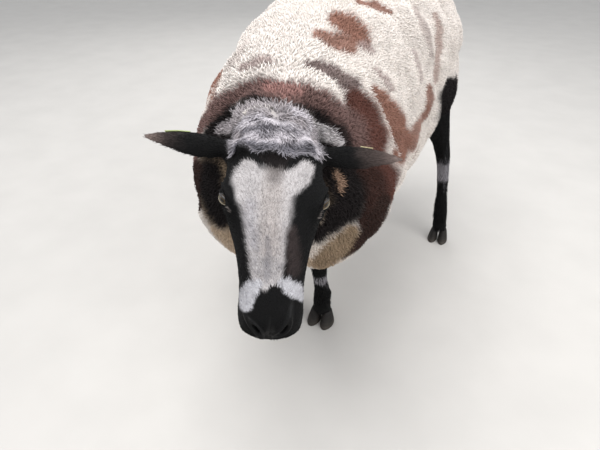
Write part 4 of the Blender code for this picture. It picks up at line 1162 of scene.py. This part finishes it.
class RAM_OT_hair(bpy.types.Operator):
    """Grows the short hair of the face, ears, legs and scrotum"""

    bl_idname = "ram.hair"
    bl_label = "Short hair"

    def execute(self, context):
        sizes = context.scene.ram_coat
        surface = skin_surface()
        roots, normals = surface.roots("face", sizes.hair_spacing, 6)
        bare = clear_of_eyes_and_nose(roots)
        roots, normals = roots[bare], normals[bare]
        grow("hair_face", roots, normals, "face", 40)
        spacings = {"ear": sizes.hair_spacing, "scrotum": 1.25 * sizes.leg_spacing}
        for seed, (zone, spacing) in enumerate(spacings.items()):
            roots, normals = surface.roots(zone, spacing, 7 + seed)
            grow("hair_" + zone, roots, normals, zone, 50 + seed)
        roots, normals = surface.roots("leg", sizes.leg_spacing, 9)
        hind = zones(roots)["leg_number"] >= FIRST_HIND_LEG
        grow("hair_fore_legs", roots[~hind], normals[~hind], "leg", 60)
        grow("hair_hind_legs", roots[hind], normals[hind], "leg", 61)
        return {"FINISHED"}


def clear_of_eyes_and_nose(roots):
    """Which roots lie off the eyes, the lips' line and the bare nose."""
    clear = np.ones(len(roots), bool)
    for side in (-1, 1):
        local = seen_from(roots, eye_matrix(side))
        far = (local[:, 0] / (LID_HALF_LENGTH * 1.2)) ** 2 + (local[:, 1] / (LID_UPPER_HEIGHT * 1.35)) ** 2
        clear &= (far > 1) | (np.linalg.norm(local, axis=1) > 0.03)
    head = seen_from(roots, head_matrix()) * np.array((1, -1, 1))
    line = MOUTH_HEIGHT - (MOUTH_FRONT - head[:, 1]) * math.tan(MOUTH_DROP)
    mouth = (np.abs(head[:, 2] - line) < 0.0022) & (head[:, 1] > MOUTH_CORNER)
    return clear & ~mouth & (bare_nose(head) < 0.5) & (nostril_reach(head) > 1.9)


# Eyes, claws and tags


def tube(name, path, radii, sides=8):
    """A closed tube along points with its own radius at each."""
    made = bmesh.new()
    loops = []
    for index, point in enumerate(path):
        ahead = path[min(index + 1, len(path) - 1)]
        before = path[max(index - 1, 0)]
        turn = (ahead - before).to_track_quat("Z", "Y").to_matrix()
        ring = []
        for step in range(sides):
            angle = 2 * math.pi * step / sides
            spoke = turn.col[0] * math.cos(angle) + turn.col[1] * math.sin(angle)
            ring.append(made.verts.new(point + spoke * radii[index]))
        loops.append(ring)
    for first, second in zip(loops, loops[1:]):
        for step in range(sides):
            after = (step + 1) % sides
            made.faces.new((first[step], first[after], second[after], second[step]))
    made.faces.new(loops[0])
    made.faces.new(loops[-1])
    bmesh.ops.recalc_face_normals(made, faces=made.faces)
    mesh = bpy.data.meshes.new(name)
    made.to_mesh(mesh)
    made.free()
    mesh.shade_smooth()
    return object_of(name, mesh)


def lid_rim(name, matrix, height, radius):
    """A lid's rim: an arc over the eyeball that thins to both corners of the eye."""
    path, radii = [], []
    reach = EYE_RADIUS + 0.0010
    for step in range(LID_STEPS + 1):
        angle = math.pi * step / LID_STEPS
        x = math.cos(angle) * LID_HALF_LENGTH * 1.04
        y = math.sin(angle) ** 1.2 * height * 1.02
        z = math.sqrt(max(reach**2 - x * x - y * y, 1e-8))
        path.append(matrix @ Vector((x, y, z)))
        radii.append(radius * (0.45 + 0.55 * math.sin(angle) ** 0.5))
    return tube(name, path, radii)


class RAM_OT_eyes(bpy.types.Operator):
    """Sets the eyeballs and the rims of their lids"""

    bl_idname = "ram.eyes"
    bl_label = "Eyes and lids"

    def execute(self, context):
        for word, side in (("left", 1), ("right", -1)):
            matrix = eye_matrix(side)
            choose_none()
            bpy.ops.mesh.primitive_uv_sphere_add(segments=48, ring_count=32, radius=EYE_RADIUS)
            ball = context.object
            ball.name = "eyeball_" + word
            points = points_of(ball.data)
            swell = 0.0011 * smooth_step(0.80, 1.0, points[:, 2] / EYE_RADIUS)
            place_points(ball.data, points * (1 + swell / EYE_RADIUS)[:, None])
            ball.data.transform(matrix)
            ball.data.shade_smooth()
            ball.data.materials.append(eye_finish("eye_" + word + "_wet", matrix))
            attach(ball, "root")
            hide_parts("eye_" + word)
            for lid, sign, height in (
                ("upper", lid_sign(side), LID_UPPER_HEIGHT),
                ("lower", -lid_sign(side), LID_LOWER_HEIGHT),
            ):
                rim = lid_rim(f"{lid}_lid_{word}", matrix, sign * height, LID_RIMS[lid])
                rim.data.materials.append(rim_finish(lid))
                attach(rim, "root")
        return {"FINISHED"}


def foot_middle(node):
    """Between the two claws of the foot that a claw belongs to."""
    foot = node.rsplit("_", 1)[0]
    boxes = [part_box(f"{foot}_{place}") for place in ("inner", "outer")]
    return sum(corner.x for box in boxes for corner in box) / 4


def claw_block(name, low, high):
    """An oval block that fills a claw's box."""
    middle = (low + high) / 2
    size = high - low
    choose_none()
    bpy.ops.mesh.primitive_cylinder_add(vertices=40, radius=0.5, depth=size.z, location=middle)
    claw = bpy.context.object
    claw.name = name
    bpy.ops.object.transform_apply(location=True, rotation=True, scale=True)
    bpy.ops.object.mode_set(mode="EDIT")
    bpy.ops.mesh.select_all(action="SELECT")
    bpy.ops.transform.resize(value=(size.x, size.y, 1), center_override=middle)
    bpy.ops.object.mode_set(mode="OBJECT")
    return claw


def shape_claw(mesh, low, high, inner):
    """Cuts the block at a few levels and narrows it: a sloping toe, a short heel and a flat inner side."""
    middle = (low + high) / 2
    size = high - low
    made = bmesh.new()
    made.from_mesh(mesh)
    for share in CLAW_LEVELS:
        geometry = made.verts[:] + made.edges[:] + made.faces[:]
        cut = Vector((middle.x, middle.y, low.z + size.z * share))
        bmesh.ops.bisect_plane(made, geom=geometry, plane_co=cut, plane_no=(0, 0, 1))
    for vertex in made.verts:
        share = (vertex.co.z - low.z) / size.z
        across = (vertex.co.x - middle.x) / size.x * 2
        along = (vertex.co.y - middle.y) / size.y * 2
        flat = 1.08 if across * inner > 0 else 1.0
        width = (1.0 - 0.34 * share**1.4) * min(1.0, flat * (1 - 0.25 * max(0, -along - 0.3)))
        toe = -1.0 + 0.72 * share**0.8
        heel = 0.86 - 0.22 * share
        vertex.co.x = middle.x + (across * width + inner * 0.22 * share) * size.x / 2
        vertex.co.y = middle.y + (toe + (heel - toe) * (along + 1) / 2) * size.y / 2
    made.to_mesh(mesh)
    made.free()


class RAM_OT_claws(bpy.types.Operator):
    """Shapes the eight claws over their solids"""

    bl_idname = "ram.claws"
    bl_label = "Claws"

    def execute(self, context):
        horn = horn_finish()
        for node in CLAWS:
            low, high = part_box(node)
            claw = claw_block(node.replace("hoof", "claw"), low, high)
            inner = -1 if (low.x + high.x) / 2 > foot_middle(node) else 1
            shape_claw(claw.data, low, high, inner)
            apply_modifier(claw, "BEVEL", width=0.0026, segments=4, limit_method="ANGLE", angle_limit=0.9)
            claw.data.shade_smooth()
            choose(claw)
            bpy.ops.object.shade_smooth_by_angle(angle=0.7)
            claw.data.materials.append(horn)
            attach(claw, "root")
            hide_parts(node)
        return {"FINISHED"}


class RAM_OT_tags(bpy.types.Operator):
    """Gives the ear tags their moulded finish"""

    bl_idname = "ram.tags"
    bl_label = "Ear tags"

    def execute(self, context):
        for word, colour in TAG_COLOURS.items():
            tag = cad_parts["ear_tag_" + word]
            tag.data.materials.clear()
            tag.data.materials.append(tag_finish("tag_" + word, colour))
        return {"FINISHED"}


# Finishes


class Amount:
    """A socket that can be used in sums."""

    def __init__(self, finish, socket):
        self.finish = finish
        self.socket = socket

    def combined(self, operation, first, second):
        settings = {"operation": operation}
        return self.finish.node("ShaderNodeMath", settings, {0: first, 1: second})

    def __add__(self, other):
        return self.combined("ADD", self, other)

    __radd__ = __add__

    def __sub__(self, other):
        return self.combined("SUBTRACT", self, other)

    def __rsub__(self, other):
        return self.combined("SUBTRACT", other, self)

    def __mul__(self, other):
        return self.combined("MULTIPLY", self, other)

    __rmul__ = __mul__

    def __pow__(self, other):
        return self.combined("POWER", self, other)


class Finish:
    """A material and the nodes that feed its shader."""

    def __init__(self, name, **constants):
        self.material = bpy.data.materials.new(name)
        self.material.use_nodes = True
        self.tree = self.material.node_tree
        self.shader = self.tree.nodes["Principled BSDF"]
        for socket, value in constants.items():
            self.shader.inputs[socket.replace("_", " ")].default_value = value

    def node(self, kind, settings, values, output=0):
        """Adds a node with its settings first, then its sockets' values or links."""
        made = self.tree.nodes.new(kind)
        for name, value in settings.items():
            if name == "stops":
                for index, (place, colour) in enumerate(value):
                    ramp = made.color_ramp.elements
                    stop = ramp[index] if index < 2 else ramp.new(place)
                    stop.position = place
                    stop.color = (*colour, 1)
                continue
            setattr(made, name, value)
        for socket, value in values.items():
            if isinstance(value, Amount):
                self.tree.links.new(value.socket, made.inputs[socket])
            else:
                made.inputs[socket].default_value = value
        return Amount(self, made.outputs[output])

    def feed(self, socket, amount):
        self.tree.links.new(amount.socket, self.shader.inputs[socket])

    def axis(self, vector, index):
        """One coordinate of a vector."""
        return self.node("ShaderNodeSeparateXYZ", {}, {0: vector}, index)

    def place(self):
        return self.node("ShaderNodeTexCoord", {}, {}, "Object")

    def noise(self, place, scale, detail=2.0, distortion=0.0):
        values = {"Vector": place, "Scale": scale, "Detail": detail, "Distortion": distortion}
        return self.node("ShaderNodeTexNoise", {}, values)

    def ramp(self, amount, stops):
        return self.node("ShaderNodeValToRGB", {"stops": stops}, {"Fac": amount})

    def blend(self, mode, share, first, second):
        settings = {"data_type": "RGBA", "blend_type": mode}
        return self.node("ShaderNodeMix", settings, {0: share, 6: first, 7: second}, 2)

    def bump(self, height, strength, distance):
        values = {"Height": height, "Strength": strength, "Distance": distance}
        self.feed("Normal", self.node("ShaderNodeBump", {}, values))


def coat_finish(name, bump):
    """Wool and hair: the coat's own colours with a fine fleck in them."""
    finish = Finish(name, Roughness=0.85, Sheen_Weight=0.01, Sheen_Roughness=0.5, Specular_IOR_Level=0.10)
    colour = finish.node("ShaderNodeAttribute", {"attribute_name": COLOUR_MAP}, {}, "Color")
    place = finish.place()
    fleck = finish.noise(place, 420.0, 3.0)
    shades = finish.ramp(fleck, ((0.30, (0.78, 0.76, 0.75)), (0.70, (1.0, 1.0, 1.0))))
    finish.feed("Base Color", finish.blend("MULTIPLY", 1.0, colour, shades))
    if bump:
        bare = finish.node("ShaderNodeAttribute", {"attribute_name": BARE_MAP}, {}, "Fac")
        pebbles = finish.node("ShaderNodeTexVoronoi", {"feature": "F1"}, {"Vector": place, "Scale": 620.0})
        grain = finish.noise(place, 700.0, 4.0, 0.4)
        finish.feed("Roughness", (fleck * 0.2 + 0.72) * (1 - bare) + (pebbles * 0.2 + 0.48) * bare)
        finish.feed("Coat Weight", bare * 0.06)
        finish.bump(grain * (1 - bare) + (1 - pebbles) * bare * 0.5, bump, 0.0012)
    else:
        finish.feed("Roughness", fleck * 0.2 + 0.72)
    return finish.material


def eye_finish(name, matrix):
    """A wet eye: a dark level pupil in an amber iris, with brown round it."""
    finish = Finish(name, Roughness=0.15, Coat_Weight=0.35, Coat_Roughness=0.03, Specular_IOR_Level=0.2)
    place = finish.place()
    inverse = matrix.inverted()
    values = {"Vector": place, "Location": inverse.translation[:], "Rotation": inverse.to_euler()[:]}
    local = finish.node("ShaderNodeMapping", {"vector_type": "POINT"}, values)
    x, y = finish.axis(local, 0), finish.axis(local, 1)
    reach = (x * x + y * y) ** 0.5
    slot = ((x * (1 / PUPIL_HALF[0])) ** 2 + (y * (1 / PUPIL_HALF[1])) ** 2) ** 0.5
    streaks = finish.noise(local, 900.0, 3.0, 1.0)
    iris = (
        (0.0, (0.030, 0.019, 0.007)),
        (0.55, (0.060, 0.036, 0.011)),
        (0.72, (0.022, 0.013, 0.006)),
        (0.88, (0.008, 0.006, 0.004)),
    )
    rim = finish.ramp(reach * 100 + streaks * 0.08, iris)
    pupil = finish.ramp(slot, ((0.85, (0.0, 0.0, 0.0)), (1.1, (1.0, 1.0, 1.0))))
    finish.feed("Base Color", finish.blend("MULTIPLY", 1.0, rim, pupil))
    return finish.material


def rim_finish(lid):
    """The bare rim of a lid: dark above the eye and pale below."""
    name = "lid_" + lid
    if name in bpy.data.materials:
        return bpy.data.materials[name]
    finish = Finish(name, Roughness=0.45, Coat_Weight=0.3)
    grain = finish.noise(finish.place(), 1200.0, 2.0)
    dark = ((0.3, (0.010, 0.009, 0.009)), (0.7, (0.028, 0.022, 0.020)))
    pale = ((0.3, (0.14, 0.115, 0.070)), (0.7, (0.24, 0.20, 0.13)))
    finish.feed("Base Color", finish.ramp(grain, dark if lid == "upper" else pale))
    finish.bump(grain, 0.3, 0.0004)
    return finish.material


def horn_finish():
    """Grey-black horn with level growth rings and dust low down."""
    finish = Finish("claw_horn", Roughness=0.6, Specular_IOR_Level=0.22)
    place = finish.place()
    height = finish.axis(place, 2)
    wander = finish.noise(place, 60.0, 3.0)
    level = finish.node("ShaderNodeCombineXYZ", {}, {0: wander * 0.004, 1: 0.0, 2: height})
    rings = finish.noise(level, 420.0, 2.0)
    colour = finish.ramp(rings, ((0.30, (0.005, 0.0045, 0.0042)), (0.62, (0.020, 0.017, 0.015))))
    low = height * 25 + wander * 0.5 - 0.25
    dust = finish.ramp(low, ((0.1, (0.07, 0.058, 0.046)), (0.45, (0.0, 0.0, 0.0))))
    finish.feed("Base Color", finish.blend("ADD", 0.35, colour, dust))
    finish.feed("Roughness", wander * 0.3 + 0.48)
    finish.bump(rings, 0.5, 0.0006)
    return finish.material


def tag_finish(name, colour):
    """Moulded plastic in a tag's own colour."""
    finish = Finish(name, Roughness=0.4)
    grain = finish.noise(finish.place(), 300.0, 3.0)
    low = tuple(value * 0.75 for value in colour)
    finish.feed("Base Color", finish.ramp(grain, ((0.3, low), (0.65, colour))))
    finish.bump(grain, 0.15, 0.0003)
    return finish.material


# Stage


def soft_light(name, place, aim, size, power):
    """A square light that faces its aim."""
    light = bpy.data.lights.new(name, "AREA")
    light.energy = power
    light.size = size
    lamp = object_of(name, light)
    lamp.location = place
    lamp.rotation_euler = (aim - place).to_track_quat("-Z", "Y").to_euler()


class RAM_OT_stage(bpy.types.Operator):
    """Sets the pale floor, the soft lights and the camera"""

    bl_idname = "ram.stage"
    bl_label = "Stage"

    def execute(self, context):
        sizes = context.scene.ram_stage
        choose_none()
        bpy.ops.mesh.primitive_plane_add(size=sizes.floor_size, location=(0, 0, 0))
        floor = context.object
        floor.name = "floor"
        finish = Finish("pale_floor", Roughness=0.9)
        grain = finish.noise(finish.place(), 6.0, 3.0)
        stops = ((0.3, tuple(0.94 * value for value in sizes.floor_colour)), (0.7, tuple(sizes.floor_colour)))
        finish.feed("Base Color", finish.ramp(grain, stops))
        floor.data.materials.append(finish.material)
        for name, place, aim, size, power in (
            ("key", (-0.4, -0.6, 3.4), (0, -0.1, 0.4), 2.6, sizes.key_power),
            ("fill", (2.6, -0.8, 2.0), (0, -0.1, 0.4), 2.2, sizes.fill_power),
            ("back", (-1.4, 2.4, 2.4), (0, 0.1, 0.5), 2.0, sizes.back_power),
        ):
            soft_light(name, Vector(place), Vector(aim), size, power)
        world = bpy.data.worlds.new("studio")
        context.scene.world = world
        world.use_nodes = True
        background = world.node_tree.nodes["Background"]
        background.inputs[0].default_value = (0.93, 0.96, 1.0, 1)
        background.inputs[1].default_value = sizes.sky
        context.scene.view_settings.view_transform = "Standard"
        camera = object_of("camera", bpy.data.cameras.new("camera"))
        camera.location = Vector(sizes.camera_place)
        camera.rotation_euler = (math.radians(90) - sizes.camera_drop, 0, sizes.camera_turn)
        camera.data.sensor_width = SENSOR_WIDTH
        camera.data.lens = sizes.camera_lens
        camera.data.clip_start = 0.05
        context.scene.camera = camera
        return {"FINISHED"}


# Sizes a user would change


def metres(name, description, default):
    """A size in metres."""
    return FloatProperty(name=name, description=description, default=default, unit="LENGTH")


def degrees(name, description, default):
    """An angle, given in degrees."""
    return FloatProperty(name=name, description=description, default=math.radians(default), subtype="ANGLE")


class SkinSizes(bpy.types.PropertyGroup):
    """Sizes of the skin"""

    voxel: metres("Voxel", "Grain of the joined skin", 0.0028)
    triangles: IntProperty(name="Triangles", description="Triangles of the skin", default=176000)
    fleece_rounds: IntProperty(name="Fleece smoothing", description="Rounds under the wool", default=140)
    hair_rounds: IntProperty(name="Hair smoothing", description="Rounds all over", default=9)
    trunk_depth: metres("Trunk depth", "Skin under the trunk's wool", 0.003)
    neck_depth: metres("Neck depth", "Skin under the neck's wool", 0.004)
    tail_depth: metres("Tail depth", "Skin under the tail's wool", 0.003)
    knot_depth: metres("Topknot depth", "Skin under the topknot", 0.0055)
    hair_depth: metres("Hair depth", "Skin under the short hair", 0.0012)
    bump: FloatProperty(name="Bump", description="Height of the hair's fine bump", default=0.6)


class CoatSizes(bpy.types.PropertyGroup):
    """Sizes of the coat"""

    wool_spacing: metres("Wool spacing", "Between wool tufts", 0.0038)
    neck_spacing: metres("Neck spacing", "Between neck tufts", 0.0037)
    knot_spacing: metres("Topknot spacing", "Between topknot curls", 0.0023)
    hair_spacing: metres("Hair spacing", "Between hairs of the face", 0.0025)
    leg_spacing: metres("Leg spacing", "Between hairs of the legs", 0.0031)


class StageSizes(bpy.types.PropertyGroup):
    """Sizes of the stage"""

    floor_size: metres("Floor", "Side of the floor", 14.0)
    floor_colour: FloatVectorProperty(
        name="Floor colour", description="Colour of the floor", default=(0.50, 0.48, 0.455), subtype="COLOR"
    )
    key_power: FloatProperty(name="Key", description="Power of the main light", default=110.0)
    fill_power: FloatProperty(name="Fill", description="Power of the second light", default=60.0)
    back_power: FloatProperty(name="Back", description="Power of the rear light", default=30.0)
    sky: FloatProperty(name="Sky", description="Strength of the even light", default=0.85)
    camera_place: FloatVectorProperty(
        name="Camera",
        description="Place of the camera",
        default=tuple(Vector((0.362, -0.997, 0.887)) + SHIFT),
        subtype="TRANSLATION",
    )
    camera_turn: degrees("Turn", "Camera's turn", 24.1)
    camera_drop: degrees("Drop", "Camera's drop", 33.5)
    camera_lens: FloatProperty(
        name="Lens", description="Focal length in millimetres", default=FOCAL * SENSOR_WIDTH / IMAGE_WIDTH
    )


STEPS = (
    RAM_OT_skin,
    RAM_OT_wool,
    RAM_OT_topknot,
    RAM_OT_hair,
    RAM_OT_eyes,
    RAM_OT_claws,
    RAM_OT_tags,
    RAM_OT_stage,
)


class RAM_PT_panel(bpy.types.Panel):
    """Lists the steps that build the ram"""

    bl_label = "Ram"
    bl_idname = "RAM_PT_panel"
    bl_space_type = "VIEW_3D"
    bl_region_type = "UI"
    bl_category = "Ram"

    def draw(self, context):
        for step in STEPS:
            self.layout.operator(step.bl_idname)
        for group in (context.scene.ram_skin, context.scene.ram_coat, context.scene.ram_stage):
            for name in group.__annotations__:
                self.layout.prop(group, name)


CLASSES = (SkinSizes, CoatSizes, StageSizes, *STEPS, RAM_PT_panel)


def register():
    for cls in CLASSES:
        bpy.utils.register_class(cls)
    bpy.types.Scene.ram_skin = PointerProperty(type=SkinSizes)
    bpy.types.Scene.ram_coat = PointerProperty(type=CoatSizes)
    bpy.types.Scene.ram_stage = PointerProperty(type=StageSizes)


def unregister():
    del bpy.types.Scene.ram_skin, bpy.types.Scene.ram_coat, bpy.types.Scene.ram_stage
    for cls in reversed(CLASSES):
        bpy.utils.unregister_class(cls)


def main():
    register()
    bpy.ops.ram.skin()
    bpy.ops.ram.wool()
    bpy.ops.ram.topknot()
    bpy.ops.ram.hair()
    bpy.ops.ram.eyes()
    bpy.ops.ram.claws()
    bpy.ops.ram.tags()
    bpy.ops.ram.stage()


if __name__ == "__main__":
    main()
